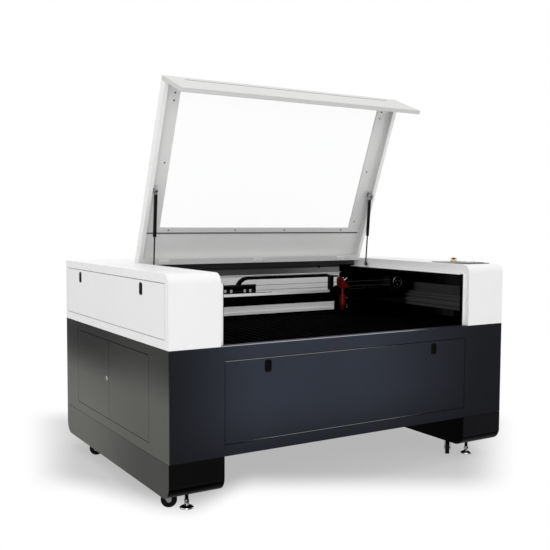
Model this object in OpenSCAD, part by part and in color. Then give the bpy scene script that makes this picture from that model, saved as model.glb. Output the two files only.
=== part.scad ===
// Enclosed flatbed laser cutting machine, drawn in millimetres with the lid open.
// Lengths along the depth are counted from the front face.

/* [Overall] */
// Width across the side casings
machine_w = 1900; // [1700:10:2100]
// Depth from the front face to the rear face
machine_d = 1335; // [1280:5:1420]
// Height of the casing top above the floor
top_z = 1010; // [990:5:1060]
// Height of the joint between the black base and the white top casing
split_z = 700; // [670:5:710]
// Height of the belly and of the seam above the pedestals
seam_z = 230; // [210:5:245]
// Height of the pedestal undersides above the floor
skirt_z = 78; // [76:1:86]

/* [Casing] */
// Thickness drawn for folded sheet
sheet = 3; // [2.4:0.1:3.4]
// Width of each pedestal
pedestal_w = 258; // [246:2:270]
// Width of each side housing on top
housing_w = 240; // [230:2:250]
// Rounding of the pedestal ends seen from the side
skirt_r = 60; // [40:2:66]
// Rounding of the top front edge of the housings
top_r = 45; // [30:1:46]
// Width of the ledge that the closed lid rests in
ledge_w = 26; // [24:1:28]
// Depth of that ledge below the casing top
ledge_drop = 48; // [44:1:50]
// Depth of the recess that takes the lid flap
recess_d = 25; // [24:1:30]
// Depth of the rear deck behind the lid
deck_d = 371; // [355:1:385]
// Length of the exhaust spigots behind the rear face
spigot_l = 40; // [30:1:60]
// Outer radius of the exhaust spigots
spigot_r = 75; // [50:1:90]

/* [Doors and hatch] */
// Depth of the folded doors
door_t = 14; // [12:0.5:15]
// Gap around doors and hatch
door_gap = 3; // [2.8:0.1:4]
// Width of each flush latch
latch_w = 30; // [26:1:34]
// Height of each flush latch
latch_h = 50; // [44:1:56]
// Distance of the front latches from the ends of the front door
latch_in = 210; // [130:1:290]

/* [Lid] */
// Angle between the open lid and its closed place
lid_open = 68.5; // [60:0.5:72]
// Height of the flap at the lid's front edge
flap_h = 236; // [200:1:250]
// Depth of the folded edge of the flap
flap_d = 20; // [18:1:23]
// Distance that the closed flap stands in front of the front face
flap_out = 20; // [12:1:22]
// Width of the lid left beside the window
window_side = 104; // [100:1:130]
// Distance of the window's front edge from the lid's front
window_front = 48; // [44:1:80]
// Length of the solid panel behind the window
window_back = 193; // [180:1:230]
// Radius of the gas strut tubes
strut_r = 9; // [7:0.5:9.5]
// Length of the lid's hinges
hinge_l = 80; // [70:2:90]

/* [Motion] */
// Distance of the gantry beam's front from the front face
gantry_y = 550; // [450:5:600]
// Depth of the gantry beam
beam_d = 60; // [56:1:64]
// Place of the cutting head along the beam, from the middle
head_x = 300; // [150:5:400]
// Number of blades in the cutting bed
blade_n = 26; // [18:1:30]
// Bend radius of the drag chain
chain_r = 58; // [54:1:60]

/* [Feet and casters] */
// Radius of the caster wheels
wheel_r = 35; // [32:0.5:35]
// Width of the caster wheels
wheel_w = 22; // [18:1:24]
// Distance of each caster wheel behind its swivel pin
caster_trail = 24; // [20:1:28]
// Distance of each caster from its pedestal's left side
caster_in = 48; // [44:1:104]
// Radius of the levelling foot pads
pad_r = 31; // [24:1:34]
// Radius of the levelling foot screws
foot_r = 8; // [6:0.5:9]

/* [Hidden] */
$fn = 48;
run = 0.05;
half_w = machine_w / 2;
y_front = -(machine_d + spigot_l) / 2;
open_half = half_w - housing_w;
deck_y = machine_d - deck_d;
ledge_z = top_z - ledge_drop;
ledge_x = open_half - ledge_w;
lip_h = 13;
flange_d = 23;

// Doors
fd_half = half_w - pedestal_w - door_gap;
fd_z0 = seam_z + 51;
fd_z1 = split_z - 64;
sd_y0 = 206;
sd_y1 = machine_d - 189;
sd_mid = (sd_y0 + sd_y1) / 2 + 15;
sd_z0 = seam_z + 49;
sd_z1 = split_z - 46;
ht_y0 = 39;
ht_y1 = machine_d - 35;
ht_z0 = split_z + 41;
ht_z1 = top_z - 40;
pin_r = 3;
pin_edge = 9;
pin_in = door_t / 2;
latch_x = fd_half - latch_in;
fl_z = fd_z1 - 36;
hl_z = ht_z1 - 37;
hl_y = [286, machine_d - 239];
lock_y = sd_mid + 33;
lock_z = (sd_z0 + sd_z1) / 2 - 2;

// Lid, drawn closed and then swung open about its pin line
pin_y = deck_y - 9;
pin_z = top_z - 8;
lid_half = open_half - 3;
lid_y1 = pin_y - 9;
rim_z = ledge_z + 2;
flap_in = flap_d - flap_out;
lip_x = ledge_x + 2;
win_half = lid_half - window_side;
win_y1 = lid_y1 - window_back;
knuckle_r = 6;
hinge_at = [-(lid_half - 140), 0, lid_half - 140];

// Gas struts
strut_x = ledge_x - 14;
st_low = [pin_y - 155, top_z - 32];
st_up = [pin_y - 413, top_z - 46];
st_rel = [st_up[0] - pin_y, st_up[1] - pin_z];
st_open = [pin_y + st_rel[0] * cos(lid_open) + st_rel[1] * sin(lid_open),
           pin_z - st_rel[0] * sin(lid_open) + st_rel[1] * cos(lid_open)];
st_len = norm(st_open - st_low);
st_shut = norm(st_up - st_low);
st_lean = atan2(st_low[0] - st_open[0], st_open[1] - st_low[1]);
tube_l = st_shut - 44;

// Frame and bed
tube = 40;
weld = 0.2;
foot_x = half_w - 131;
foot_y = 107;
rail_a = foot_y;
rail_b = machine_d - foot_y;
post_out = half_w - 50;
post_in = half_w - pedestal_w + 40;
bed_top = split_z - 10;
bed_z = bed_top - 38;
bed_half = ledge_x - 14;
bed_y0 = 60;
rail_m = deck_y - 14;
bed_y1 = deck_y - 9;

// Motion system, hung from the top of the casing
yr_x = open_half + 40;
yr_z = top_z - 240;
yr_top = yr_z + 60;
guide_h = 15;
yr_y0 = machine_d * 0.027;
yr_y1 = deck_y - 14;
shaft_y = deck_y + 36;
shaft_z = yr_z + 30;
beam_z1 = yr_top + 8;
beam_z0 = beam_z1 - 38;
beam_half = open_half - 5;
belt_z = beam_z1 + 49;
motor_x = open_half;
idler_x = open_half - 20;
rail_h = 24;
nozzle_z = bed_top + 64;
link_h = 6;
chain_low = beam_z1 - 20;
chain_high = chain_low + 2 * chain_r;
chain_turn = -open_half * 0.324;
chain_end = head_x - 30;
tray_z = chain_low - link_h - 0.3;
tray_end = -open_half * 0.124;
screen_x = [-open_half * 0.566, -open_half * 0.279];
beam_up = beam_z1 + 92;
lens_x = head_x - 3;

// Casters and feet
caster_x = [-half_w + caster_in, half_w - pedestal_w + caster_in];
caster_y = [165, machine_d - 250];
caster_turn = [[156, 46], [156, -24]];
pad_t = 2;
crown_z = 2 * wheel_r + 1.5;
crown_t = skirt_z - pad_t - 0.6 - crown_z;

// Control panel
panel_t = 3.5;
stop_up = 16.5;

black = [0.10, 0.10, 0.12];
white = [0.92, 0.92, 0.92];
pale = [0.75, 0.76, 0.77];
steel = [0.62, 0.63, 0.65];
dark = [0.16, 0.16, 0.17];
red = [0.55, 0.08, 0.08];

// Moves a part drawn from the front face to the shared origin
module place() translate([0, y_front, 0]) children();

// Box between two corners
module box(a, b) translate(a) cube(b - a);

// Draws a piece and its mirror image across the middle
module both_sides() {
    children();
    mirror([1, 0, 0]) children();
}

// Extrudes a profile given as depth and height across the width
module along_x(x0, x1) translate([x0, 0, 0]) rotate([90, 0, 90])
    linear_extrude(x1 - x0) children();

// Extrudes a profile given as width and height along the depth
module along_y(y0, y1) translate([0, y1, 0]) rotate([90, 0, 0])
    linear_extrude(y1 - y0) children();

// Cylinders along the three directions, from one end to the other
module rod_x(r, x0, x1, y, z) translate([x0, y, z]) rotate([0, 90, 0])
    cylinder(r = r, h = x1 - x0);
module rod_y(r, y0, y1, x, z) translate([x, y1, z]) rotate([90, 0, 0])
    cylinder(r = r, h = y1 - y0);
module rod_z(r, z0, z1, x, y) translate([x, y, z0]) cylinder(r = r, h = z1 - z0);

// Rectangle with round corners, about its own middle
module round_rect(w, h, r) {
    square([w - 2 * r, h], center = true);
    square([w, h - 2 * r], center = true);
    for (i = [-1, 1], j = [-1, 1])
        translate([i * (w / 2 - r), j * (h / 2 - r)]) circle(r = r);
}

// Side view of a pedestal, with round lower corners
module skirt_profile(inset) {
    top = seam_z - 1.5;
    r = skirt_r;
    translate([inset, skirt_z + r]) square([machine_d - 2 * inset, top - skirt_z - r + inset]);
    translate([r, skirt_z + inset]) square([machine_d - 2 * r, r]);
    translate([r, skirt_z + r]) circle(r = r - inset);
    translate([machine_d - r, skirt_z + r]) circle(r = r - inset);
}

// Side view of a side housing, with a round top front corner
module housing_profile(inset) {
    r = top_r;
    low = split_z - (inset > 0 ? 5 : 0);
    translate([inset, low]) square([machine_d - 2 * inset, top_z - r - low]);
    translate([r, top_z - r - 1]) square([machine_d - r - inset, r + 1 - inset]);
    translate([r, top_z - r]) circle(r = r - inset);
}

// Frame of square tubes, welded with a small root gap
module base_frame() color(dark) place() {
    low = skirt_z + sheet;
    both_sides() {
        for (y = [rail_a, rail_b]) {
            difference() {
                box([-post_out - 20, y - 20, low], [-post_in + 20, y + 20, low + tube]);
                rod_z(foot_r + 1, low - 1, low + tube + 1, -foot_x, y);
            }
            for (x = [post_out, post_in])
                box([-x - 20, y - 20, low + tube + weld], [-x + 20, y + 20, bed_z - tube - weld]);
        }
        box([-foot_x - 20, rail_a + 20 + weld, low], [-foot_x + 20, rail_b - 20 - weld, low + tube]);
        box([-post_out - 20, rail_a + 20 + weld, bed_z - tube],
            [-post_out + 20, rail_m - 20 - weld, bed_z]);
        box([-post_out - 20, rail_m + 20 + weld, bed_z - tube],
            [-post_out + 20, rail_b - 20 - weld, bed_z]);
        for (y = [rail_a, rail_m])
            box([-yr_x - 20, y - 20, bed_z + weld], [-yr_x + 20, y + 20, yr_z]);
    }
    for (y = [rail_a, rail_b])
        box([-post_in + 20 + weld, y - 20, seam_z + sheet],
            [post_in - 20 - weld, y + 20, seam_z + sheet + tube]);
    for (y = [rail_a, rail_m, rail_b])
        box([-post_out - 20, y - 20, bed_z - tube], [post_out + 20, y + 20, bed_z]);
}

// Front sheet with the folded opening of the drop door
module front_panel() color(black) place() {
    w = fd_half + door_gap;
    z0 = fd_z0 - door_gap;
    z1 = fd_z1 + door_gap;
    difference() {
        union() {
            box([-half_w + sheet, 0, seam_z], [half_w - sheet, sheet, split_z]);
            box([-half_w + sheet, 0, split_z - sheet], [half_w - sheet, 40, split_z]);
            box([-w - sheet, 0, z0 - sheet], [w + sheet, flange_d, z1 + sheet]);
        }
        box([-w, -1, z0], [w, flange_d + 1, z1]);
        rod_x(pin_r + run, -w - sheet - 1, w + sheet + 1, pin_in, fd_z0 + pin_edge);
    }
}

// Left sheet with the folded opening of the two cabinet doors
module left_panel() color(black) place() {
    y0 = sd_y0 - door_gap;
    y1 = sd_y1 + door_gap;
    z0 = sd_z0 - door_gap;
    z1 = sd_z1 + door_gap;
    x = -half_w;
    difference() {
        union() {
            box([x, 0, seam_z], [x + sheet, machine_d, split_z]);
            box([x, 40, split_z - sheet], [x + 25, machine_d - 40, split_z]);
            box([x, y0 - sheet, z0 - sheet], [x + flange_d, y1 + sheet, z1 + sheet]);
        }
        box([x - 1, y0, z0], [x + flange_d + 1, y1, z1]);
        for (y = [sd_y0 + pin_edge, sd_y1 - pin_edge])
            rod_z(pin_r + run, z0 - sheet - 1, z1 + sheet + 1, x + pin_in, y);
    }
}

// Plain right sheet with cooling slots for the electrics behind it
module right_panel() color(black) place() difference() {
    union() {
        box([half_w - sheet, 0, seam_z], [half_w, machine_d, split_z]);
        box([half_w - 25, 40, split_z - sheet], [half_w, machine_d - 40, split_z]);
    }
    vent = machine_d * 0.18;
    for (i = [0 : 5], y = [machine_d * 0.225, machine_d * 0.775 - vent])
        box([half_w - sheet - 1, y, split_z - 110 - 22 * i],
            [half_w + 1, y + vent, split_z - 102 - 22 * i]);
}

// Rear sheet with two exhaust spigots
module rear_panel() color(black) place() {
    z = (seam_z + split_z) / 2;
    difference() {
        union() {
            box([-half_w + sheet, machine_d - sheet, seam_z], [half_w - sheet, machine_d, split_z]);
            box([-half_w + sheet, machine_d - 40, split_z - sheet], [half_w - sheet, machine_d, split_z]);
            both_sides() rod_y(spigot_r, machine_d - sheet, machine_d + spigot_l, -300, z);
            both_sides() rod_y(spigot_r + 14, machine_d - 1, machine_d + 2, -300, z);
        }
        both_sides() rod_y(spigot_r - 2.5, machine_d - sheet - 1, machine_d + spigot_l + 1, -300, z);
    }
}

// Two hollow pedestals with pads for the casters
module skirts() color(black) place() difference() {
    union() {
        both_sides() difference() {
            along_x(-half_w, -half_w + pedestal_w) skirt_profile(0);
            along_x(-half_w + sheet, -half_w + pedestal_w - sheet) skirt_profile(sheet);
        }
        for (x = caster_x, y = caster_y)
            box([x - 34, y - 34, skirt_z - pad_t], [x + 34, y + 34, skirt_z + 1]);
    }
    for (x = caster_x, y = caster_y)
        rod_z(6 + run, skirt_z - pad_t - 1, skirt_z + sheet + 1, x, y);
    for (x = [-foot_x, foot_x], y = [foot_y, machine_d - foot_y])
        rod_z(foot_r + run, skirt_z - 1, skirt_z + sheet + 1, x, y);
}

// Tray between the pedestals that closes the belly
module belly_pan() color(dark) place()
    box([-post_in + 21, sheet, seam_z], [post_in - 21, machine_d - sheet, seam_z + sheet]);

// Folded side housing with the stepped edge that the lid closes into
module side_housing() {
    x = -open_half;
    difference() {
        along_x(-half_w, x) housing_profile(0);
        along_x(-half_w + sheet, x - sheet) housing_profile(sheet);
        box([x - 2 * sheet, recess_d, split_z - 1], [x + 1, deck_y, ledge_z - sheet]);
        box([x - 2 * sheet, deck_y, split_z - 1], [x + 1, machine_d - sheet, top_z - sheet]);
    }
    box([x - sheet, recess_d, ledge_z - sheet], [-ledge_x, deck_y, ledge_z]);
    box([-ledge_x - sheet, recess_d, ledge_z - lip_h], [-ledge_x, deck_y, ledge_z]);
    box([x - sheet, recess_d, split_z], [-ledge_x, recess_d + sheet, ledge_z]);
    box([-ledge_x - sheet, recess_d, split_z], [-ledge_x, recess_d + 12, ledge_z]);
    // Stud for the foot of the gas strut
    box([-ledge_x, st_low[0] - 15, ledge_z - lip_h + 1],
        [-ledge_x + 3, st_low[0] + 15, st_low[1] + 12]);
    rod_x(4, -ledge_x, -strut_x + 9, st_low[0], st_low[1]);
}

module left_housing() color(white) place() {
    y0 = ht_y0 - door_gap;
    y1 = ht_y1 + door_gap;
    z0 = ht_z0 - door_gap;
    z1 = ht_z1 + door_gap;
    x = -half_w;
    difference() {
        union() {
            side_housing();
            box([x + 1, y0 - sheet, z0 - sheet], [x + flange_d, y1 + sheet, z1 + sheet]);
        }
        box([x - 1, y0, z0], [x + flange_d + 1, y1, z1]);
        rod_y(pin_r + run, y0 - sheet - 1, y1 + sheet + 1, x + pin_in, ht_z0 + pin_edge);
    }
}

module right_housing() color(white) place() mirror([1, 0, 0]) side_housing();

// Deck, rear wall and hinge flange behind the lid
module rear_housing() color(white) place() {
    box([-open_half, deck_y, top_z - sheet], [open_half, machine_d, top_z]);
    box([-open_half, machine_d - sheet, split_z], [open_half, machine_d, top_z]);
    box([-open_half, deck_y, top_z - 40], [open_half, deck_y + sheet, top_z]);
}

// Light sheet at the back of the work space, with a lip above and a step below
module chamber_wall() color(pale) place() {
    y = deck_y + sheet;
    box([-open_half + 1, y, bed_z], [open_half - 1, y + sheet, top_z - 6]);
    box([-ledge_x, y - 12, top_z - 88], [ledge_x, y + 1, top_z - 82]);
    box([-ledge_x, y - 8, split_z + 2], [ledge_x, y + 1, split_z + 17]);
}

// Pivot pins of the doors and the hatch, each with a head behind its flange
module hinge_pins() color(steel) place() {
    gap = door_gap + sheet;
    head_r = pin_in - sheet - 0.1;
    both_sides() {
        rod_x(pin_r, -fd_half - gap - 1, -fd_half + sheet + 6, pin_in, fd_z0 + pin_edge);
        rod_x(head_r, -fd_half - gap - 3, -fd_half - gap, pin_in, fd_z0 + pin_edge);
    }
    for (y = [sd_y0 + pin_edge, sd_y1 - pin_edge]) {
        rod_z(pin_r, sd_z1 - sheet - 6, sd_z1 + gap + 1, -half_w + pin_in, y);
        rod_z(head_r, sd_z1 + gap, sd_z1 + gap + 3, -half_w + pin_in, y);
        rod_z(pin_r, sd_z0 - gap - 1, sd_z0 + sheet + 6, -half_w + pin_in, y);
        rod_z(head_r, sd_z0 - gap - 3, sd_z0 - gap, -half_w + pin_in, y);
    }
    rod_y(pin_r, ht_y0 - gap - 1, ht_y0 + sheet + 6, -half_w + pin_in, ht_z0 + pin_edge);
    rod_y(head_r, ht_y0 - gap - 3, ht_y0 - gap, -half_w + pin_in, ht_z0 + pin_edge);
    rod_y(pin_r, ht_y1 - sheet - 6, ht_y1 + gap + 1, -half_w + pin_in, ht_z0 + pin_edge);
    rod_y(head_r, ht_y1 + gap, ht_y1 + gap + 3, -half_w + pin_in, ht_z0 + pin_edge);
}

// Cut-out for a flush latch, about the latch's middle, facing the front
module latch_slot() along_y(-1, door_t + 1) round_rect(latch_w + 2, latch_h + 2, 10);

// Collar behind that cut-out, with the pivot pin of the latch
module latch_collar() {
    along_y(1, door_t - 2) difference() {
        round_rect(latch_w + 7, latch_h + 7, 12);
        round_rect(latch_w + 2, latch_h + 2, 10);
    }
    rod_x(2, -latch_w / 2 - 2, latch_w / 2 + 2, 5, latch_h / 2 - 8);
}

// Paddle of a flush latch, with a finger dish
module latch_paddle() difference() {
    along_y(0, 8) round_rect(latch_w, latch_h, 9);
    rod_x(2 + run, -latch_w, latch_w, 5, latch_h / 2 - 8);
    translate([0, -34, -latch_h / 4]) sphere(r = 36);
}

// Latch places on the front door and the hatch
module on_front(x) translate([x, 0, fl_z]) children();
module on_hatch(y) translate([-half_w, y, hl_z]) rotate([0, 0, -90]) children();

module front_door() color(black) place() {
    difference() {
        box([-fd_half, 0, fd_z0], [fd_half, door_t, fd_z1]);
        box([-fd_half + sheet, sheet, fd_z0 + sheet], [fd_half - sheet, door_t + 1, fd_z1 - sheet]);
        rod_x(pin_r + run, -fd_half - 1, fd_half + 1, pin_in, fd_z0 + pin_edge);
        for (x = [-latch_x, latch_x]) on_front(x) latch_slot();
    }
    for (x = [-latch_x, latch_x]) on_front(x) latch_collar();
}

// One leaf of the cabinet doors, hinged at y_pin
module cabinet_leaf(y0, y1, y_pin) {
    x = -half_w;
    difference() {
        box([x, y0, sd_z0], [x + door_t, y1, sd_z1]);
        box([x + sheet, y0 + sheet, sd_z0 + sheet], [x + door_t + 1, y1 - sheet, sd_z1 - sheet]);
        rod_z(pin_r + run, sd_z0 - 1, sd_z1 + 1, x + pin_in, y_pin);
    }
}

module left_door_front() color(black) place()
    cabinet_leaf(sd_y0, sd_mid - door_gap / 2, sd_y0 + pin_edge);

module left_door_rear() color(black) place() difference() {
    cabinet_leaf(sd_mid + door_gap / 2, sd_y1, sd_y1 - pin_edge);
    rod_x(10 + run, -half_w - 1, -half_w + sheet + 1, lock_y, lock_z);
}

// Turning cylinder of the cabinet lock with its cam, drawn unlocked
module door_lock() color(steel) place() {
    difference() {
        union() {
            rod_x(10, -half_w - 1, -half_w + 20, lock_y, lock_z);
            rod_x(13, -half_w - 2, -half_w, lock_y, lock_z);
        }
        box([-half_w - 3, lock_y - 1, lock_z - 5], [-half_w + 4, lock_y + 1, lock_z + 5]);
    }
    box([-half_w + 17, lock_y - 8, lock_z - 8], [-half_w + 20, lock_y + 8, lock_z + 54]);
}

module left_hatch() color(white) place() {
    x = -half_w;
    difference() {
        box([x, ht_y0, ht_z0], [x + door_t, ht_y1, ht_z1]);
        box([x + sheet, ht_y0 + sheet, ht_z0 + sheet], [x + door_t + 1, ht_y1 - sheet, ht_z1 - sheet]);
        rod_y(pin_r + run, ht_y0 - 1, ht_y1 + 1, x + pin_in, ht_z0 + pin_edge);
        for (y = hl_y) on_hatch(y) latch_slot();
    }
    for (y = hl_y) on_hatch(y) latch_collar();
}

module front_latch_left() color(black) place() on_front(-latch_x) latch_paddle();
module front_latch_right() color(black) place() on_front(latch_x) latch_paddle();
module hatch_latch_front() color(black) place() on_hatch(hl_y[0]) latch_paddle();
module hatch_latch_rear() color(black) place() on_hatch(hl_y[1]) latch_paddle();

// Swings a lid piece, drawn closed, to its open rest place
module lid_place() place() translate([0, pin_y, pin_z]) rotate([-lid_open, 0, 0])
    translate([0, -pin_y, -pin_z]) children();

// Folded lid with its front flap
module lid_shell() color(white) lid_place() difference() {
    low = top_z - flap_h;
    union() {
        box([-lid_half, -flap_out, top_z - sheet], [lid_half, lid_y1, top_z]);
        box([-lid_half, lid_y1 - sheet, rim_z], [lid_half, lid_y1, top_z]);
        box([-lid_half, lid_y1 - 34, rim_z], [lid_half, lid_y1, rim_z + sheet]);
        box([-lid_half, -flap_out, low], [lid_half, -flap_out + sheet, top_z]);
        box([-lid_half, -flap_out, low], [lid_half, flap_in, low + sheet]);
        box([-lid_half, flap_in - sheet, low], [lid_half, flap_in, low + 15]);
        both_sides() {
            box([-lid_half, -flap_out, rim_z], [-lid_half + sheet, lid_y1, top_z]);
            box([-lid_half, flap_in - sheet, rim_z], [-lip_x, lid_y1, rim_z + sheet]);
            box([-lid_half, -flap_out, low], [-lid_half + sheet, flap_in, top_z]);
            box([-lid_half, flap_in - sheet, low], [-lip_x, flap_in, rim_z + sheet]);
        }
    }
    box([-win_half, window_front, top_z - sheet - 1], [win_half, win_y1, top_z + 1]);
    box([-win_half, -flap_out - 1, top_z - 56], [win_half, -flap_out + 1.2, top_z - 51]);
}

// Clear sheet under the lid's top
module lid_window() color([0.75, 0.85, 0.88, 0.35]) lid_place()
    box([-win_half - 40, flap_in + 8, top_z - sheet - 5], [win_half + 40, win_y1 + 16, top_z - sheet]);

// Frame that holds the window from inside
module window_frame() color(white) lid_place() difference() {
    box([-win_half - 72, flap_in + 3, top_z - sheet - 8], [win_half + 72, win_y1 + 26, top_z - sheet]);
    box([-win_half - 40.5, flap_in + 7.5, top_z - sheet - 5],
        [win_half + 40.5, win_y1 + 16.5, top_z - sheet + 1]);
    box([-win_half, window_front, top_z - sheet - 9], [win_half, win_y1, top_z]);
}

// Moving hinge leaves and strut brackets on the lid
module lid_fittings() color(steel) lid_place() {
    for (x = hinge_at) translate([x, 0, 0]) difference() {
        union() {
            box([-hinge_l / 2, lid_y1, pin_z - 30], [hinge_l / 2, lid_y1 + 3, pin_z - 9]);
            box([-13.6, lid_y1, pin_z - 10], [13.6, pin_y - 2, pin_z]);
            rod_x(knuckle_r, -13.6, 13.6, pin_y, pin_z);
        }
        rod_x(3 + run, -14, 14, pin_y, pin_z);
    }
    // Backing plates of the hinges inside the lid, with their screws
    for (x = hinge_at) {
        box([x - 28, lid_y1 - 26, rim_z - 3], [x + 28, lid_y1 - 5, rim_z]);
        for (i = [-1, 1]) rod_z(3, rim_z - 5, rim_z - 2, x + i * 16, lid_y1 - 15.5);
    }
    both_sides() {
        box([-ledge_x + 1, st_up[0] - 15, st_up[1] - 12], [-ledge_x + 4, st_up[0] + 15, top_z - sheet]);
        rod_x(4, -ledge_x + 2, -strut_x - 8.5, st_up[0], st_up[1]);
    }
}

// Fixed hinge leaves with their pins, on the flange of the rear deck
module body_hinge_leaves() color(steel) place() for (x = hinge_at) translate([x, 0, 0]) {
    h = hinge_l / 2;
    box([-h, deck_y - 3, pin_z - 30], [h, deck_y, pin_z - 9]);
    for (s = [-1, 1]) {
        m = s * (h + 14) / 2;
        w = (h - 14) / 2;
        box([m - w, pin_y + 2, pin_z - 10], [m + w, deck_y, pin_z + 2]);
        rod_x(knuckle_r, m - w, m + w, pin_y, pin_z);
    }
    rod_x(3, -h, h, pin_y, pin_z);
}

// Stands a strut piece, drawn upright on its foot, at its open place
module strut_place() place() translate([-strut_x, st_low[0], st_low[1]])
    rotate([st_lean, 0, 0]) children();

module strut_rod() difference() {
    union() {
        rod_x(8, -8, 8, 0, 0);
        rod_z(6, 6, 16, 0, 0);
        rod_z(4, 6, st_len - tube_l + 16, 0, 0);
    }
    rod_x(4 + run, -9, 9, 0, 0);
}

module strut_tube() {
    difference() {
        rod_z(strut_r, st_len - tube_l - 14, st_len - 14, 0, 0);
        rod_z(4 + run, st_len - tube_l - 15, st_len - 24, 0, 0);
    }
    rod_z(6, st_len - 15, st_len - 6, 0, 0);
    rod_x(8, -8, 8, 0, st_len);
}

module left_strut_rod() color(steel) strut_place() strut_rod();
module left_strut_tube() color(black) strut_place() strut_tube();
module right_strut_rod() color(steel) mirror([1, 0, 0]) strut_place() strut_rod();
module right_strut_tube() color(black) mirror([1, 0, 0]) strut_place() strut_tube();

// Cutting bed: a frame of bars, with upright blades set between its ends
module blade_bed() color(dark) place() {
    bar = 20;
    both_sides()
        box([-bed_half, bed_y0 + bar + weld, bed_z], [-bed_half + bar, bed_y1 - bar - weld, bed_top]);
    for (y = [bed_y0, bed_y1 - bar])
        box([-bed_half, y, bed_z], [bed_half, y + bar, bed_top]);
    step = 2 * (bed_half - bar) / (blade_n + 1);
    for (i = [1 : blade_n])
        translate([-bed_half + bar + i * step, 0, 0])
            box([-2, bed_y0 + bar + weld, bed_z + 6], [2, bed_y1 - bar - weld, bed_top - 1]);
}

// Beam with its front grooves, the chain tray behind it and the screen on top
module gantry_beam() color(black) place() {
    y = gantry_y;
    difference() {
        box([-beam_half, y, beam_z0], [beam_half, y + beam_d, beam_z1]);
        for (z = [beam_z0 + 9, beam_z1 - 17])
            box([-beam_half - 1, y - 1, z], [beam_half + 1, y + 5, z + 8]);
    }
    x = chain_turn - chain_r - 12;
    box([x, y + beam_d - 1, tray_z - sheet], [tray_end, y + beam_d + 31, tray_z]);
    box([x, y + beam_d - 1, tray_z - sheet], [tray_end, y + beam_d + 2, beam_z1 + 22]);
    box([screen_x[0], y + 40, beam_z1 - 1], [screen_x[1], y + 43, beam_z1 + 67]);
}

// Carriages on the long rails, with the idler on the left and mirror two
module gantry_carriages() color(dark) place() {
    y = gantry_y;
    gz = yr_top + guide_h + 1;
    both_sides() {
        difference() {
            union() {
                box([-yr_x - 28, y - 15, gz], [-beam_half + 45, y + 75, gz + 8]);
                box([-yr_x - 22, y - 15, yr_top + 2], [-yr_x + 22, y + 75, gz + 1]);
                box([-beam_half, y + 2, beam_z1], [-beam_half + 45, y + 58, gz + 1]);
            }
            box([-yr_x - 7.8, y - 16, yr_top], [-yr_x + 7.8, y + 76, yr_top + guide_h + 0.3]);
        }
    }
    box([-idler_x - 38, y + 32, gz + 7], [-idler_x + 38, y + 38, belt_z + 38]);
    rod_y(11.9, y + 24, y + 33, -idler_x, belt_z);
    difference() {
        box([motor_x - 38, y + 32, gz + 7], [motor_x + 38, y + 38, belt_z + 38]);
        rod_y(14, y + 31, y + 39, motor_x, belt_z);
    }
    box([-yr_x - 6, y - 52, gz], [-yr_x + 26, y - 10, gz + 8]);
    translate([-yr_x + 10, y - 32, gz]) rotate([0, 0, 45])
        box([-18, -5, 2], [18, 5, belt_z + 18 - gz]);
}

// Polished guide rail on top of the beam
module x_rail() color(steel) place()
    box([-beam_half + 55, gantry_y + 3, beam_z1], [beam_half - 55, gantry_y + 15, beam_z1 + rail_h]);

// Closed belt between the idler and the motor
module x_belt() color(black) place() along_y(gantry_y + 25, gantry_y + 31) difference() {
    belt_outline(13.5);
    belt_outline(12);
}

// Stadium outline of the belt between its two pulleys
module belt_outline(r) {
    translate([-idler_x, belt_z]) circle(r = r);
    translate([motor_x, belt_z]) circle(r = r);
    translate([-idler_x, belt_z - r]) square([idler_x + motor_x, 2 * r]);
}

// Motor behind its plate, its pulley and the round cover in front
module x_motor() color(dark) place() {
    y = gantry_y;
    box([motor_x - 28, y + 38, belt_z - 28], [motor_x + 28, y + 98, belt_z + 28]);
    rod_y(11.9, y + 23, y + 39, motor_x, belt_z);
    difference() {
        rod_y(32, y + 10, y + 24, motor_x, belt_z);
        rod_y(25, y + 9, y + 13, motor_x, belt_z);
    }
    rod_y(12, y + 9, y + 14, motor_x, belt_z);
    for (a = [0 : 120 : 240])
        rod_y(4, y + 10, y + 15, motor_x + 18.5 * cos(a + 90), belt_z + 18.5 * sin(a + 90));
}

// One link of the drag chain about its own middle, with half its length at the inner and outer face
module chain_link(low = 9.6, high = 9.6) {
    mid = (low + high) / 2;
    difference() {
        rotate([90, 0, 0]) linear_extrude(22, center = true)
            polygon([[-low, -link_h], [low, -link_h], [high, link_h], [-high, link_h]]);
        box([-high - 3, -8, -link_h + 2], [high + 3, 8, link_h - 2]);
        box([-mid / 2, -9, -link_h - 1], [mid / 2, 9, link_h + 1]);
        for (s = [-1, 1]) rod_y(2.5, s * 11 - 1, s * 11 + 1, -mid * 0.55, 0);
    }
}

// Drag chain: short run in the tray, half turn, and the run to the head
module drag_chain() color(black) place() translate([0, gantry_y + beam_d + 16, 0]) {
    pitch = 20;
    low_n = floor((tray_end - chain_turn) / pitch);
    high_n = ceil((chain_end - chain_turn) / pitch);
    arc_n = round(PI * chain_r / pitch);
    arc_r = (chain_r + link_h) * cos(90 / arc_n) - link_h;
    for (i = [0 : low_n - 1])
        translate([chain_turn + 10 + i * pitch, 0, chain_low]) chain_link();
    for (i = [0 : arc_n - 1])
        translate([chain_turn, 0, chain_low + chain_r])
            rotate([0, 180 + 180 * (i + 0.5) / arc_n, 0])
                translate([0, 0, arc_r])
                    chain_link((arc_r - link_h) * tan(90 / arc_n) - 0.4,
                               (arc_r + link_h) * tan(90 / arc_n) - 0.4);
    for (i = [0 : high_n - 1])
        translate([chain_end - 10 - i * (chain_end - chain_turn) / high_n, 0, chain_high])
            chain_link();
}

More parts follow.
